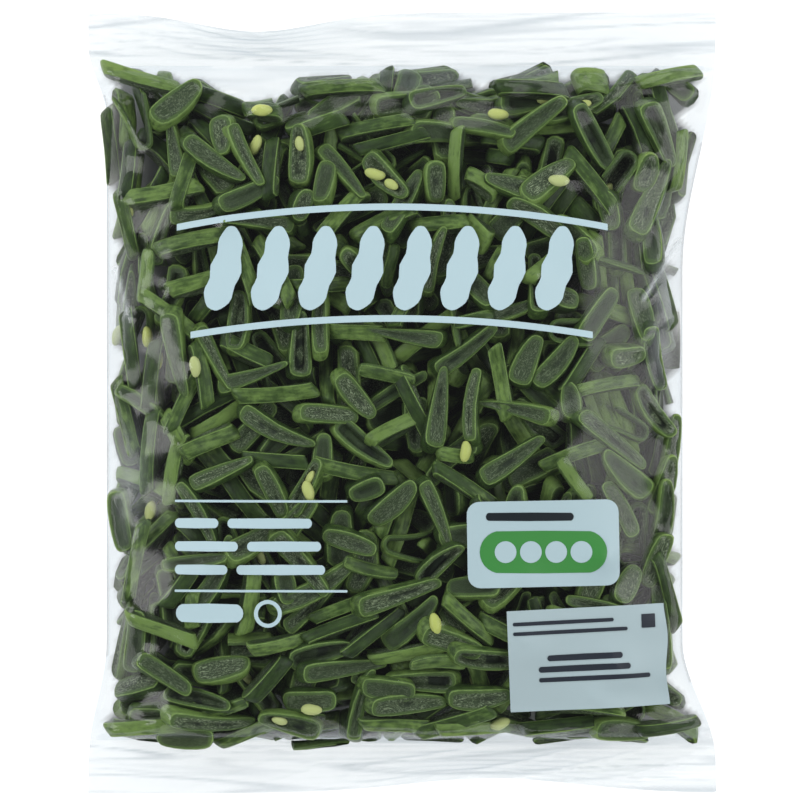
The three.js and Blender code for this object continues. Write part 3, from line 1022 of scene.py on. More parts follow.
def heapGroups():
    # The loose heap in three layers by height, and then the slices laid on it.
    inBag = [entry for entry in settled if liesInside(*entry[:2])]
    loose = sorted((entry for entry in inBag if not entry[2]), key=lambda entry: entry[1].translation.z)
    third = len(loose) // 3 + 1
    layers = {}
    for k, name in enumerate(("slicesBack", "slicesMiddle", "slicesFront")):
        layers[name] = loose[k * third : (k + 1) * third]
    for name in ("slicesUpper", "slicesTop"):
        layers[name] = [entry for entry in inBag if entry[2] == name]
    return layers


def roundedOff(piece):
    # The topmost slices are seen closest, so their edges and ends are rounder.
    rounder = piece.modifiers.new("rounder", "SUBSURF")
    rounder.levels = rounder.render_levels = 1
    applyModifiers(piece)
    bpy.ops.object.shade_smooth_by_angle(angle=math.radians(75))


def makeSlices():
    draw = random.Random(heap["seed"] + 1)
    made = []
    for name, entries in heapGroups().items():
        copies = []
        for kind, place, _ in entries:
            vary = Matrix.Diagonal([draw.uniform(*limits) for limits in heap["vary"]] + [1])
            copies.append(keptOffBack(placedCopy(kind, place @ vary, draw)))
        piece = joined(copies, name)
        if name in ("slicesUpper", "slicesTop"):
            roundedOff(piece)
        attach(piece, "root")
        made.append(piece)
        print(name, len(entries), "slices", len(piece.data.polygons), "faces")
    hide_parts("bean_slices")
    return made


slicePieces = makeSlices()

# Loose seeds lie on the slices, at the places that the frame gives them, and a few more at places
# in metres with their turn in degrees.
extraSeeds = [(-0.0485, 0.0855, 70), (-0.0090, 0.0755, -15), (-0.0950, 0.0225, 75), (0.0325, -0.1065, 20)]


def topUnder(trees, x, y):
    hits = [tree.ray_cast(Vector((x, y, 0.08)), Vector((0, 0, -1)))[0] for tree in trees]
    return max((hit.z for hit in hits if hit), default=pillow["crease"])


def laidSeed(name, trees, x, y, degrees, draw):
    # It rests on the second highest of five points under it.
    spots = ((0, 0), (1, 0), (-1, 0), (0, 1), (0, -1))
    around = [topUnder(trees, x + 0.0018 * dx, y + 0.0018 * dy) for dx, dy in spots]
    high = sorted(around)[3] + looseSeed["size"][2] * mm * 0.42
    turn = Euler((draw.uniform(-0.2, 0.2), draw.uniform(-0.15, 0.15), math.radians(degrees)))
    place = Matrix.Translation((x, y, high)) @ turn.to_matrix().to_4x4() @ Matrix.Scale(mm, 4)
    piece = placedCopy("seed", place, draw)
    piece.name = name
    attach(piece, "root")
    return piece


def laySeeds():
    draw = random.Random(17)
    graph = bpy.context.evaluated_depsgraph_get()
    trees = [BVHTree.FromObject(piece, graph) for piece in slicePieces]
    made = []
    for k in range(1, looseSeed["count"] + 1):
        low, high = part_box("loose_seed_" + str(k))
        long = (high.x - low.x) > (high.y - low.y)
        turn = draw.uniform(-25, 25) + (0 if long else 90)
        x, y = (low.x + high.x) / 2, (low.y + high.y) / 2
        made.append(laidSeed("seed" + str(k), trees, x, y, turn, draw))
        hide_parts("loose_seed_" + str(k))
    for k, (x, y, degrees) in enumerate(extraSeeds):
        made.append(laidSeed("seedExtra" + str(k), trees, x, y, degrees, draw))
    return made


seedPieces = laySeeds()
print("seeds", len(seedPieces))
for piece in patterns.values():
    bpy.data.objects.remove(piece)

# The film. Its front is stretched over the slices, row by row from seal to seal.
film = {
    "columns": 152,
    "rows": 190,
    "sealRows": 26,
    "clearance": 0.0005,
    "relax": 500,
    "thickness": 0.0003,
    "ridgePitch": 0.0022,
    "ridge": 0.00012,
    "ripple": 0.0005,
    "top": {"base": 12, "curl": 48, "at": -0.048, "spread": 0.036},
    "bottom": {"base": 14, "curl": 40, "at": 0.030, "spread": 0.052},
    "bendLength": 0.005,
    # the film's own faint cloudiness everywhere, to which the painted sheen is added
    "hazeAndSheen": 0.004,
    "creases": {"long": 0.0011, "fine": 0.0004, "side": 0.0006},
    "slant": {
        "folds": [((0.0930, 0.0545), (0.0800, 0.0345)), ((-0.0960, 0.0450), (-0.0905, 0.0280))],
        "width": 0.0009,
        "height": 0.0016,
    },
    "sheenPatches": [
        # patches of painted sheen at the film's sides: middle, reach across and along, and how thick the
        # sheen is
        (0.0895, 0.0360, 0.0050, 0.0130, 0.24),
        (0.0860, 0.0180, 0.0040, 0.0100, 0.16),
        (-0.0950, 0.0300, 0.0035, 0.0110, 0.20),
        (-0.0900, -0.0250, 0.0050, 0.0150, 0.14),
    ],
}
finStrip = {
    "width": 0.012,
    "share": 0.97,  # of the length between the seals
    "gap": 0.0001,
    "thickness": 0.00032,
    "ridge": 0.0001,
    "pitch": 0.0024,
    "columns": 30,
    "rows": 150,
}


def filmGrid():
    us = np.linspace(-1, 1, film["columns"] + 1)
    ys = np.linspace(-pillow["sealLine"], pillow["sealLine"], film["rows"] + 1)
    lefts, rights = edgeX(ys, -1)[:, None], edgeX(ys, 1)[:, None]
    xs = lefts + (us[None, :] + 1) / 2 * (rights - lefts)
    return us, xs, np.broadcast_to(ys[:, None], xs.shape)


def topsBelow(trees, xs, ys):
    # The height of the slices under each point of the grid, with nothing where there is none.
    tops = np.full(xs.shape, -1.0)
    down = Vector((0, 0, -1))
    for index in np.ndindex(xs.shape):
        start = Vector((xs[index], ys[index], 0.08))
        for tree in trees:
            hit = tree.ray_cast(start, down)[0]
            if hit:
                tops[index] = max(tops[index], hit.z)
    return tops


def creased(x, y):
    # Long folds near the seals and the side creases, in metres.
    end = smoothStep(abs(y), 0.088, pillow["sealLine"])
    side = smoothStep(abs(x), 0.082, 0.098) * (1 - end)
    lengthwise = noise.noise(Vector((x * 9 + 3 + y * 3, y * 105 - x * 14, 4.2)))
    fine = noise.noise(Vector((x * 20 - 7, y * 260 + x * 30, 1.7)))
    upright = noise.noise(Vector((x * 170, y * 14 + 5, 8.1)))
    high = film["creases"]
    sharp = max(0.0, 1 - 5 * abs(lengthwise)) * high["long"] + max(0.0, 1 - 5 * abs(fine)) * high["fine"]
    slant = slantFold(x, y) * film["slant"]["height"]
    return float(end) * sharp + float(side) * max(0.0, 1 - 4 * abs(upright)) * high["side"] + slant


def slantFold(x, y):
    # How close a point is to one of the slanting folds at the sides, from 0 to 1.
    closest = 0.0
    for start, stop in film["slant"]["folds"]:
        point, start, stop = Vector((x, y)), Vector(start), Vector(stop)
        share = (point - start).dot(stop - start) / (stop - start).length_squared
        share = min(1, max(0, share))
        away = (point - start.lerp(stop, share)).length
        closest = max(closest, (1 - 0.4 * share) * math.exp(-((away / film["slant"]["width"]) ** 2)))
    return closest


def paintedSheen(x, y):
    # Painted sheen along those folds and in patches at the film's sides, where it would catch the lamps.
    most = 0.5 * slantFold(x, y)
    for middleX, middleY, wide, long, thick in film["sheenPatches"]:
        away = ((x - middleX) / wide) ** 2 + ((y - middleY) / long) ** 2
        most = max(most, thick * math.exp(-away))
    return most


def aroundMean(height):
    # The mean of each inner point's four neighbours.
    return (height[:-2, 1:-1] + height[2:, 1:-1] + height[1:-1, :-2] + height[1:-1, 2:]) / 4


def frontHeights(tops, xs, ys):
    # The front drawn tight over the slices: it relaxes, but not below what it lies on.
    form = pillowHeight(xs, ys, 1)
    lowest = np.where(tops > 0, tops + film["clearance"], pillow["crease"])
    height = np.maximum(form, lowest)
    edge = pillow["crease"]
    height[0], height[-1], height[:, 0], height[:, -1] = edge, edge, edge, edge
    for step in range(film["relax"]):
        height[1:-1, 1:-1] = np.maximum(aroundMean(height), lowest[1:-1, 1:-1])
    for step in range(2):
        height[1:-1, 1:-1] = height[1:-1, 1:-1] * 0.5 + aroundMean(height) * 0.5
    return height


def sealPoints(us, end):
    # The crimped band beyond the seal line, which curls up towards its edge.
    tilt = film["top"] if end > 0 else film["bottom"]
    step = pillow["sealBand"] / film["sealRows"]
    points = np.zeros((film["sealRows"], len(us), 3))
    for column, u in enumerate(us):
        middle = u * pillow["halfWidth"]
        curl = math.exp(-(((middle - tilt["at"]) / tilt["spread"]) ** 2))
        most = math.radians(tilt["base"] + tilt["curl"] * curl)
        out, up = 0.0, pillow["crease"]
        for row in range(film["sealRows"]):
            along = (row + 1) * step
            angle = most * float(smoothStep(along, 0, film["bendLength"]))
            out += step * math.cos(angle)
            up += step * math.sin(angle)
            last = row == film["sealRows"] - 1
            ripple = noise.noise(Vector((u * 2.2, along * 130 + u * 2.5, 3.0 * end)))
            crimp = film["ridge"] * math.sin(2 * math.pi * along / film["ridgePitch"])
            ridge = 0 if last else crimp + film["ripple"] * max(0, 1 - 6 * abs(ripple))
            y = end * (pillow["sealLine"] + along)
            left, right = float(edgeX(y, -1)), float(edgeX(y, 1))
            x = left + (u + 1) / 2 * (right - left)
            y = end * (pillow["sealLine"] + out - math.sin(angle) * ridge)
            points[row, column] = (x, y, up + math.cos(angle) * ridge)
    return points


def sheetMesh(name, front, back):
    # One closed skin from a front grid and a back grid that share their outermost points.
    rows, columns = front.shape[:2]
    points = np.concatenate([front.reshape(-1, 3), back.reshape(-1, 3)])
    faces = []
    offset = rows * columns
    for row in range(rows - 1):
        for column in range(columns - 1):
            a = row * columns + column
            faces.append((a, a + 1, a + columns + 1, a + columns))
            b = a + offset
            faces.append((b, b + columns, b + columns + 1, b + 1))
    mesh = bpy.data.meshes.new(name)
    mesh.from_pydata(points.tolist(), [], faces)
    piece = bpy.data.objects.new(name, mesh)
    bpy.context.scene.collection.objects.link(piece)
    activate(piece)
    bpy.ops.object.mode_set(mode="EDIT")
    bpy.ops.mesh.select_all(action="SELECT")
    bpy.ops.mesh.remove_doubles(threshold=0.00001)
    bpy.ops.object.mode_set(mode="OBJECT")
    bpy.ops.object.shade_smooth_by_angle(angle=math.radians(75))
    return piece


filmLook = {
    "straight": (0.966, 0.982, 0.990, 1),  # what it lets through, seen straight on
    "aslant": (0.68, 0.74, 0.79, 1),
    # painted shade along the seals' folds
    "folded": (0.80, 0.83, 0.85, 1),
    # the colour of the seals' cloudiness and of the painted sheen
    "hazeAndSheenColour": (0.80, 0.86, 0.90, 1),
    "sealHaze": 0.09,
    "gloss": 0.13,
    "mirror": 0.045,
    "grazing": 0.7,
}


def clearFilm():
    # The film lets nearly all light through, takes a little where it is seen aslant, and reflects. It has
    # painted shade along the seals' folds and painted sheen in patches at its sides and along the slanting
    # folds, over the seals' own cloudiness.
    look = filmLook
    material, nodes, links, shader = newMaterial("clearFilm", (0.86, 0.92, 0.94, 1))
    seal = attributeNode(nodes, "seal").outputs["Fac"]
    output = nodes["Material Output"]
    facing = nodes.new("ShaderNodeLayerWeight")
    facing.inputs["Blend"].default_value = 0.5
    turned = mathNode(nodes, links, "POWER", facing.outputs["Facing"], 1.5, clamp=True)
    tint = mixNode(nodes, links, turned, look["straight"], look["aslant"])
    # Painted shade: thin lines along the seals' folds let less light through.
    fold = attributeNode(nodes, "fold").outputs["Fac"]
    tint = mixNode(nodes, links, fold, tint, look["folded"])
    clear = nodes.new("ShaderNodeBsdfTransparent")
    links.new(tint, clear.inputs["Color"])
    shader.inputs["Base Color"].default_value = look["hazeAndSheenColour"]
    shader.inputs["Roughness"].default_value = 0.35
    # Painted sheen: patches at the film's sides and along the slanting folds are lightened, on top of the
    # seals' and the film's own cloudiness.
    hazeAndSheen = attributeNode(nodes, "hazeAndSheen").outputs["Fac"]
    cover = mathNode(nodes, links, "MULTIPLY_ADD", seal, look["sealHaze"], hazeAndSheen)
    hazeAndSheenMix = nodes.new("ShaderNodeMixShader")
    links.new(cover, hazeAndSheenMix.inputs["Fac"])
    links.new(clear.outputs[0], hazeAndSheenMix.inputs[1])
    links.new(shader.outputs[0], hazeAndSheenMix.inputs[2])
    glossy = nodes.new("ShaderNodeBsdfGlossy")
    glossy.inputs["Roughness"].default_value = look["gloss"]
    glossy.inputs["Color"].default_value = (1, 1, 1, 1)
    grazing = mathNode(nodes, links, "POWER", facing.outputs["Facing"], 5.0, clamp=True)
    mirror = mathNode(nodes, links, "MULTIPLY_ADD", grazing, look["grazing"], look["mirror"])
    final = nodes.new("ShaderNodeMixShader")
    links.new(mirror, final.inputs["Fac"])
    links.new(hazeAndSheenMix.outputs[0], final.inputs[1])
    links.new(glossy.outputs[0], final.inputs[2])
    links.new(final.outputs[0], output.inputs["Surface"])
    return material


graph = bpy.context.evaluated_depsgraph_get()
trees = [BVHTree.FromObject(piece, graph) for piece in slicePieces + seedPieces]
us, gridX, gridY = filmGrid()
tops = topsBelow(trees, gridX, gridY)
heights = frontHeights(tops, gridX, gridY)
folds = [creased(x, y) for x, y in zip(gridX.ravel(), gridY.ravel())]
heights[1:-1, 1:-1] += np.reshape(folds, heights.shape)[1:-1, 1:-1]
print("film stretched, highest", round(float(heights.max()), 4))


def filmHeight(x, y):
    # The height of the film's front at any point, from the four points of the grid round it.
    v = min(max((y + pillow["sealLine"]) / (2 * pillow["sealLine"]), 0), 1) * film["rows"]
    left, right = float(edgeX(y, -1)), float(edgeX(y, 1))
    u = min(max((x - left) / (right - left), 0), 1) * film["columns"]
    row, column = min(int(v), film["rows"] - 1), min(int(u), film["columns"] - 1)
    fv, fu = v - row, u - column
    low = heights[row, column] * (1 - fu) + heights[row, column + 1] * fu
    high = heights[row + 1, column] * (1 - fu) + heights[row + 1, column + 1] * fu
    return low * (1 - fv) + high * fv


def foldShadeLines(x, y):
    # Painted shade lines at thin folds that run slantwise along the seals, from 0 to 1.
    near = float(smoothStep(abs(y), 0.100, pillow["sealLine"]))
    end = math.copysign(1, y)
    lean = 0.03 * math.cos(x * 22 + end) * end
    wave = noise.noise(Vector((x * 8 + 5 * end, (y + lean * x) * 190, 2.5 * end)))
    fine = noise.noise(Vector((x * 14, (y + lean * x) * 420, 7.5 * end)))
    return near * min(1.0, 0.8 * max(0.0, 1 - 9 * abs(wave)) + 0.4 * max(0.0, 1 - 8 * abs(fine)))


def makeFilm():
    front = np.stack([gridX, gridY, heights], axis=2)
    back = np.stack([gridX, gridY, pillowHeight(gridX, gridY, -1)], axis=2)
    rim = np.ones(heights.shape, dtype=bool)
    rim[1:-1, 1:-1] = False
    back[rim] = front[rim]
    low, high = sealPoints(us, -1)[::-1], sealPoints(us, 1)
    front = np.concatenate([low, front, high])
    behind = [low.copy(), back, high.copy()]
    for band in (behind[0], behind[2]):
        band[:, 1:-1, 2] -= film["thickness"]
    behind[0][0], behind[2][-1] = low[0], high[-1]
    back = np.concatenate(behind)
    first, last = film["sealRows"], film["sealRows"] + film["rows"]
    back[first, 1:-1, 2] -= film["thickness"]
    back[last, 1:-1, 2] -= film["thickness"]
    piece = sheetMesh("film", front, back)
    line = pillow["sealLine"]
    points = [point.co for point in piece.data.vertices]
    marks = {
        "seal": [float(smoothStep(abs(point.y), line - 0.004, line + 0.001)) for point in points],
        "fold": [foldShadeLines(point.x, point.y) for point in points],
        "hazeAndSheen": [film["hazeAndSheen"] + paintedSheen(point.x, point.y) for point in points],
    }
    for name, values in marks.items():
        numbers(piece.data, name).data.foreach_set("value", values)
    piece.data.materials.append(clearFilm())
    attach(piece, "root")
    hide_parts("film_bag")
    print("film", len(piece.data.polygons))
    return piece


def makeFinSeal(material):
    # The seal that closes the sheet into a tube, folded flat down the middle of the back.
    fin = finStrip
    xs = np.linspace(-fin["width"] / 2, fin["width"] / 2, fin["columns"] + 1)
    ys = np.linspace(-1, 1, fin["rows"] + 1) * pillow["sealLine"] * fin["share"]
    gridX, gridY = np.meshgrid(xs, ys)
    under = pillowHeight(0 * gridX, gridY, -1)
    crimp = fin["ridge"] * np.sin(2 * math.pi * gridX / fin["pitch"])
    front = np.stack([gridX, gridY, under - fin["gap"]], axis=2)
    back = np.stack([gridX, gridY, under - fin["gap"] - fin["thickness"] + crimp], axis=2)
    for side in (0, -1):
        middle = (front[side] + back[side]) / 2
        front[side], back[side] = middle, middle
        middle = (front[:, side] + back[:, side]) / 2
        front[:, side], back[:, side] = middle, middle
    piece = sheetMesh("finSeal", front, back)
    numbers(piece.data, "seal").data.foreach_set("value", [1.0] * len(piece.data.vertices))
    piece.data.materials.append(material)
    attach(piece, "root")


filmPiece = makeFilm()
makeFinSeal(filmPiece.data.materials[0])

# The print: pale ink on the film, as plain shapes with no lettering. Millimetres, from the middle
# of the bag, and each shape is cut into small cells that then follow the film.
ink = {
    "colour": (0.392, 0.522, 0.568, 1),
    "plate": (0.350, 0.462, 0.500, 1),
    "above": 0.00018,
    "layer": 0.0001,
    "cell": 0.0018,
    "arcs": [
        # ends in X, height of the ends, of the crown, and width
        (-74.4, 67.8, 58.0, 64.6, 2.2),
        (-69.7, 62.8, 22.4, 27.8, 2.2),
    ],
    "pods": {
        "count": 8,
        "from": -58.0,
        "to": 51.0,
        "middle": 44.2,
        "length": 28.5,
        "width": 10.4,
        "lean": 14,
        "curl": 26,
    },
    "lines": [(-75.0, -18.0, -32.3, 0.8), (-75.0, -18.0, -61.9, 0.8)],
    "bars": [
        # from X, to X, Y, width
        (-75.0, -60.5, -39.6, 3.4),
        (-57.5, -29.6, -39.6, 3.4),
        (-75.0, -54.0, -47.2, 3.4),
        (-51.0, -26.6, -47.2, 3.4),
        (-75.0, -57.5, -54.9, 3.4),
        (-54.5, -25.3, -54.9, 3.4),
        (-74.7, -52.3, -69.3, 6.4),
    ],
    "ring": (-44.2, -69.4, 4.6, 1.3),
}
panel = {
    "middle": (46.5, -46.3),
    "size": (50.2, 28.4),
    "radius": 4.2,
    "degrees": 1.0,
    "heading": (27.5, 56.5, -37.4, 2.8),
    "green": (0.045, 0.205, 0.05, 1),
    "dark": (0.012, 0.016, 0.02, 1),
    "band": (25.5, 67.5, -49.0, 14.0),
    "beads": {"count": 4, "from": 34.0, "to": 59.0, "radius": 3.6},
}


def inkArc(left, right, ends, crown, width):
    # A strip that rises from both ends to its crown in the middle.
    clearSelection()
    bpy.ops.mesh.primitive_grid_add(x_subdivisions=60, y_subdivisions=2, size=1)
    piece = bpy.context.object
    for point in piece.data.vertices:
        rise = (crown - ends) * (1 - (2 * point.co.x) ** 2)
        x = left + (point.co.x + 0.5) * (right - left)
        point.co = (x * mm, (ends + rise + point.co.y * width) * mm, 0)
    return piece


def inkDisc(x, y, radius, sides):
    clearSelection()
    place = (x * mm, y * mm, 0)
    bpy.ops.mesh.primitive_circle_add(vertices=sides, radius=radius * mm, fill_type="NGON", location=place)
    return bpy.context.object


def inkBar(left, right, y, width, sides=16):
    # A bar with round ends.
    piece = inkDisc((left + right) / 2, y, width / 2, sides)
    applyPlace(piece)
    middle, half = (left + right) / 2 * mm, ((right - left) - width) / 2 * mm
    for side in (1, -1):
        editPoints(piece, lambda co: (co.x - middle) * side > 0.00001)
        bpy.ops.transform.translate(value=(side * half, 0, 0))
    bpy.ops.object.mode_set(mode="OBJECT")
    return piece


def inkPod(x, plan):
    # A plain pod: a long oval that is drawn out to a point at its foot and curls.
    clearSelection()
    bpy.ops.mesh.primitive_circle_add(vertices=40, radius=1, fill_type="NGON")
    piece = bpy.context.object
    for point in piece.data.vertices:
        along = point.co.x
        narrow = (1 - along**2) ** 0.35 if abs(along) < 1 else 0
        side = math.copysign(1, point.co.y) if abs(point.co.y) > 0.001 else 0
        bulge = 1 + 0.10 * math.cos(along * math.pi * 3)
        across = side * narrow * bulge * plan["width"] / 2 * (0.92 - 0.12 * along)
        point.co = (along * plan["length"] / 2, across, 0)
    curl = piece.modifiers.new("curl", "SIMPLE_DEFORM")
    curl.deform_method, curl.deform_axis, curl.angle = "BEND", "Z", math.radians(plan["curl"])
    applyModifiers(piece)
    turn = Matrix.Rotation(math.radians(90 - plan["lean"]), 4, "Z")
    place = Matrix.Translation((x * mm, plan["middle"] * mm, 0))
    piece.data.transform(place @ turn @ Matrix.Scale(mm, 4))
    return piece


def inkRing(x, y, radius, width):
    piece = inkDisc(x, y, radius, 32)
    applyPlace(piece)
    editFaces(piece, lambda face: True)
    bpy.ops.mesh.inset(thickness=width * mm, depth=0)
    bpy.ops.mesh.delete(type="FACE")
    bpy.ops.object.mode_set(mode="OBJECT")
    return piece


def roundedPlate(middle, size, radius, degrees):
    clearSelection()
    bpy.ops.mesh.primitive_plane_add(size=1)
    piece = bpy.context.object
    piece.scale = (size[0] * mm, size[1] * mm, 1)
    applyPlace(piece)
    editPoints(piece, lambda co: True)
    bpy.ops.mesh.bevel(offset=radius * mm, segments=6, affect="VERTICES")
    bpy.ops.object.mode_set(mode="OBJECT")
    place = Matrix.Translation((middle[0] * mm, middle[1] * mm, 0))
    piece.data.transform(place @ Matrix.Rotation(math.radians(degrees), 4, "Z"))
    return piece


def cutToCells(piece, cell):
    # Cuts a flat shape along a square grid.
    xs = [point.co.x for point in piece.data.vertices]
    ys = [point.co.y for point in piece.data.vertices]
    activate(piece)
    bpy.ops.object.mode_set(mode="EDIT")
    for values, normal in ((xs, (1, 0, 0)), (ys, (0, 1, 0))):
        stop = math.floor(min(values) / cell) * cell + cell
        while stop < max(values):
            bpy.ops.mesh.select_all(action="SELECT")
            bpy.ops.mesh.bisect(plane_co=[stop * v for v in normal], plane_no=normal)
            stop += cell
    bpy.ops.object.mode_set(mode="OBJECT")


def laidInk(pieces, name, material, above):
    # The shapes joined, cut to cells and laid a little above the film.
    piece = joined(pieces, name)
    piece.data.materials.clear()
    piece.data.materials.append(material)
    cutToCells(piece, ink["cell"])
    for point in piece.data.vertices:
        point.co.z = filmHeight(point.co.x, point.co.y) + above
    activate(piece)
    bpy.ops.object.mode_set(mode="EDIT")
    bpy.ops.mesh.select_all(action="SELECT")
    bpy.ops.mesh.normals_make_consistent(inside=False)
    bpy.ops.object.mode_set(mode="OBJECT")
    if sum(face.normal.z for face in piece.data.polygons) < 0:
        piece.data.flip_normals()
    bpy.ops.object.shade_smooth()
    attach(piece, "root")
    print(name, len(piece.data.polygons))


def plainPaint(name, colour, roughness):
    material, _, _, shader = newMaterial(name, colour)
    shader.inputs["Roughness"].default_value = roughness
    return material


def makePrint():
    pale = plainPaint("paleInk", ink["colour"], 0.35)
    shapes = [inkArc(*arc) for arc in ink["arcs"]]
    pods = ink["pods"]
    for k in range(pods["count"]):
        x = pods["from"] + (pods["to"] - pods["from"]) * k / (pods["count"] - 1)
        shapes.append(inkPod(x, pods))
    shapes += [inkBar(*bar) for bar in ink["bars"]]
    for left, right, y, width in ink["lines"]:
        shapes.append(roundedPlate(((left + right) / 2, y), (right - left, width), 0.2, 0))
    shapes.append(inkRing(*ink["ring"]))
    laidInk(shapes, "print", pale, ink["above"])


def makePanel():
    first, second, third = [ink["above"] + k * ink["layer"] for k in range(3)]
    plate = roundedPlate(panel["middle"], panel["size"], panel["radius"], panel["degrees"])
    plateInk = plainPaint("plateInk", ink["plate"], 0.35)
    laidInk([plate], "panelPlate", plateInk, first)
    heading = inkBar(*panel["heading"])
    laidInk([heading], "panelHeading", plainPaint("darkInk", panel["dark"], 0.4), second)
    band = inkBar(*panel["band"], 28)
    laidInk([band], "panelPod", plainPaint("greenInk", panel["green"], 0.4), second)
    beads = panel["beads"]
    spots = []
    for k in range(beads["count"]):
        x = beads["from"] + (beads["to"] - beads["from"]) * k / (beads["count"] - 1)
        left, right = x - beads["radius"], x + beads["radius"]
        spots.append(inkBar(left, right, panel["band"][2], 2 * beads["radius"] - 0.01, 24))
    laidInk(spots, "panelBeads", plateInk, third)


makePrint()
makePanel()

# The label, of paper stuck to the film. It bridges the film's hollows.
label = {
    "middle": (0.0614, -0.0842),
    "size": (0.0526, 0.0338),
    "degrees": 2.6,
    "thickness": 0.00012,
    "reach": 0.004,
    "droop": 0.0004,
    "wave": 0.0005,
    "least": 0.00045,  # how far it stays off the film
    "paper": (0.328, 0.416, 0.443, 1),
    "ink": (0.02, 0.025, 0.035, 1),
    "cell": 0.0012,
    "inkAbove": 0.00016,
    "bars": [
        # from X, to X, Y, width in mm, from the label's middle
        (-24.5, 9.0, 12.4, 1.3),
        (-24.5, 13.5, 9.2, 1.3),
        (-13.5, 11.5, 0.6, 2.1),
        (-16.5, 14.0, -3.1, 2.1),
        (-16.5, 20.5, -6.6, 1.6),
    ],
    "square": (20.5, 11.4, 4.6),
}


def labelHeight(x, y):
    # The film's highest place nearby, less a little with the distance.
    reach, slant = label["reach"], 0.7
    around = [(0, 0), (1, 0), (-1, 0), (0, 1), (0, -1)]
    around += [(dx, dy) for dx in (slant, -slant) for dy in (slant, -slant)]
    heights = [(filmHeight(x + reach * dx, y + reach * dy), dx * dx + dy * dy) for dx, dy in around]
    return max(height - label["droop"] * away for height, away in heights)


def makeLabel():
    clearSelection()
    bpy.ops.mesh.primitive_grid_add(x_subdivisions=44, y_subdivisions=30, size=1)
    piece = bpy.context.object
    piece.name = "label"
    width, height = label["size"]
    turn = Matrix.Rotation(math.radians(label["degrees"]), 4, "Z")
    place = Matrix.Translation((*label["middle"], 0)) @ turn
    for point in piece.data.vertices:
        wave = label["wave"] * math.sin(point.co.y * 9) * (point.co.x + 0.5)
        point.co = place @ Vector((point.co.x * width + wave, point.co.y * height, 0))
        point.co.z = labelHeight(point.co.x, point.co.y) + 0.00015
    for repeat in range(3):
        smooth = piece.modifiers.new("smooth", "SMOOTH")
        smooth.factor, smooth.iterations, smooth.use_x, smooth.use_y = 0.5, 6, False, False
        applyModifiers(piece)
        for point in piece.data.vertices:
            point.co.z = max(point.co.z, filmHeight(point.co.x, point.co.y) + label["least"])
    solid = piece.modifiers.new("solid", "SOLIDIFY")
    solid.thickness, solid.offset = label["thickness"], 1
    applyModifiers(piece)
    bpy.ops.object.shade_smooth_by_angle(angle=math.radians(40))
    piece.data.materials.append(plainPaint("labelPaper", label["paper"], 0.5))
    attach(piece, "root")
    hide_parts("date_label")
    print("label", len(piece.data.polygons))
    return piece, place


def makeLabelMarks(paper, place):
    graph = bpy.context.evaluated_depsgraph_get()
    tree = BVHTree.FromObject(paper, graph)
    bars = [inkBar(left, right, y, bar) for left, right, y, bar in label["bars"]]
    x, y, side = label["square"]
    bars.append(roundedPlate((x, y), (side, side), 0.3, 0))
    marks = joined(bars, "labelMarks")
    marks.data.transform(place)
    cutToCells(marks, label["cell"])
    for point in marks.data.vertices:
        hit = tree.ray_cast(Vector((point.co.x, point.co.y, 0.08)), Vector((0, 0, -1)))[0]
        point.co.z = (hit.z if hit else 0.03) + label["inkAbove"]
    if sum(face.normal.z for face in marks.data.polygons) < 0:
        marks.data.flip_normals()
    marks.data.materials.append(plainPaint("labelInk", label["ink"], 0.5))
    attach(marks, "root")
    print("marks", len(marks.data.polygons))


makeLabelMarks(*makeLabel())

# The camera, the floor and the lamps. The lamps face the middle of the bag.
studio = {
    "camera": (-0.0007, 0.001, 1.5),
    "lens": 200,
    "world": 0.045,
    "lamps": [
        # place, width, power, and whether it shows in reflections
        ((-0.95, 0.60, 1.05), 0.7, 13, False),
        ((1.05, -0.30, 1.00), 0.7, 9.0, False),
        ((-1.15, 0.60, 0.38), 0.65, 3.5, True),
        ((1.15, 0.45, 0.38), 0.65, 2.5, True),
        ((-0.95, -0.10, 0.75), 0.45, 2.0, True),
        ((1.00, 0.05, 0.95), 0.80, 3.4, True),
        ((0.15, 1.10, 0.60), 0.60, 1.5, True),
        ((0.20, 1.20, 0.70), 0.6, 5.5, False),
        ((-0.10, -1.20, 0.70), 0.6, 7.0, False),
    ],
    "floor": 0.25,
    "floorGlow": 0.92,
}


def moved(cover):
    # The grid moved by one cell, each of the four ways.
    return [np.roll(cover, shift, axis) for axis in (0, 1) for shift in (1, -1)]


def underSlices():
    # How far each point of the film's grid has slices over it, with the small gaps closed.
    steps = 8
    cover = np.pad((tops > 0).astype(float), steps + 1)
    for closing in (np.maximum, np.minimum):
        for step in range(steps):
            cover = closing.reduce([cover, *moved(cover)])
    cover = (cover + sum(moved(cover))) / 5
    return cover[steps + 1 : -steps - 1, steps + 1 : -steps - 1]


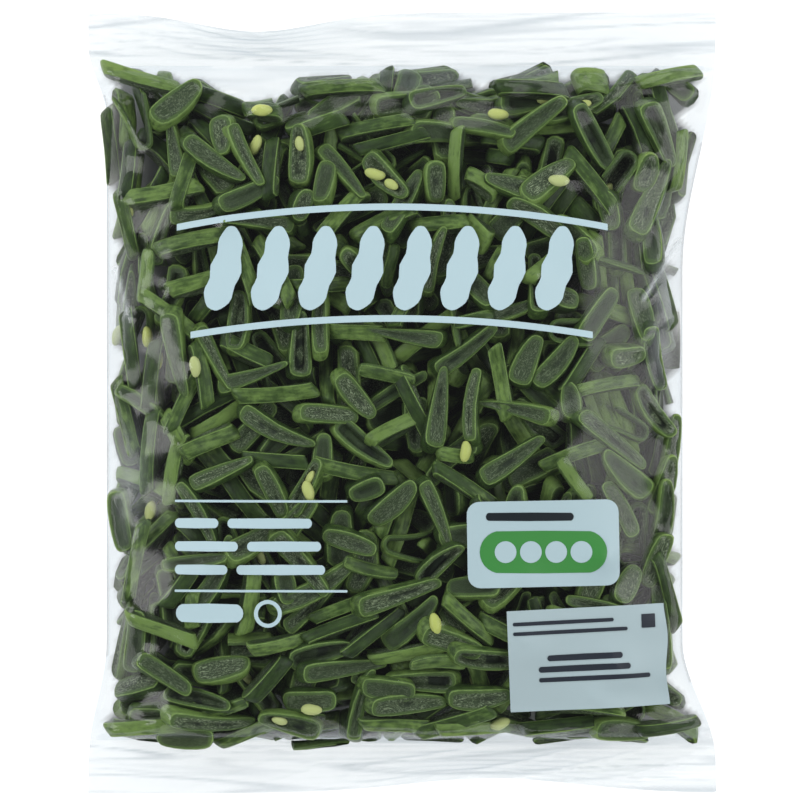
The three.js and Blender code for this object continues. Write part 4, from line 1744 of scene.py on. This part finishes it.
def floorPaint(name, glow):
    material, nodes, links, shader = newMaterial(name, (*[studio["floor"]] * 3, 1))
    shader.inputs["Roughness"].default_value = 0.9
    shader.inputs["Specular IOR Level"].default_value = 0.0
    shader.inputs["Emission Color"].default_value = (1, 1, 1, 1)
    shader.inputs["Emission Strength"].default_value = glow
    return material, nodes, links, shader


def makeCamera():
    # It looks straight down.
    camera = bpy.data.cameras.new("camera")
    camera.lens = studio["lens"]
    cameraObject = bpy.data.objects.new("camera", camera)
    cameraObject.location = studio["camera"]
    bpy.context.scene.collection.objects.link(cameraObject)
    bpy.context.scene.camera = cameraObject


def makeFloor():
    clearSelection()
    bpy.ops.mesh.primitive_plane_add(size=6, location=(0, 0, -0.0006))
    floor = bpy.context.object
    floor.name = "floor"
    floor.data.materials.append(floorPaint("paleFloor", studio["floorGlow"])[0])
    # The floor is in shade under the slices.
    clearSelection()
    bpy.ops.mesh.primitive_grid_add(x_subdivisions=film["columns"], y_subdivisions=film["rows"], size=1)
    shade = bpy.context.object
    shade.name = "floorShade"
    for point, x, y in zip(shade.data.vertices, gridX.ravel(), gridY.ravel()):
        point.co = (x, y, -0.0004)
    glow = studio["floorGlow"] * (1 - underSlices())
    numbers(shade.data, "glow").data.foreach_set("value", glow.ravel())
    material, nodes, links, shader = floorPaint("shadedFloor", 0)
    links.new(attributeNode(nodes, "glow").outputs["Fac"], shader.inputs["Emission Strength"])
    shade.data.materials.append(material)


def makeLight():
    world = bpy.data.worlds.new("studio")
    bpy.context.scene.world = world
    world.use_nodes = True
    background = world.node_tree.nodes["Background"]
    background.inputs["Strength"].default_value = studio["world"]
    background.inputs["Color"].default_value = (1, 1, 1, 1)
    for place, width, power, shows in studio["lamps"]:
        clearSelection()
        toward = (-Vector(place)).to_track_quat("-Z", "Y")
        bpy.ops.object.light_add(type="AREA", location=place, rotation=toward.to_euler())
        lamp = bpy.context.object.data
        lamp.energy, lamp.size = power, width
        bpy.context.object.visible_glossy = shows
    bpy.context.scene.view_settings.view_transform = "Standard"


makeCamera()
makeFloor()
makeLight()
print("studio made")
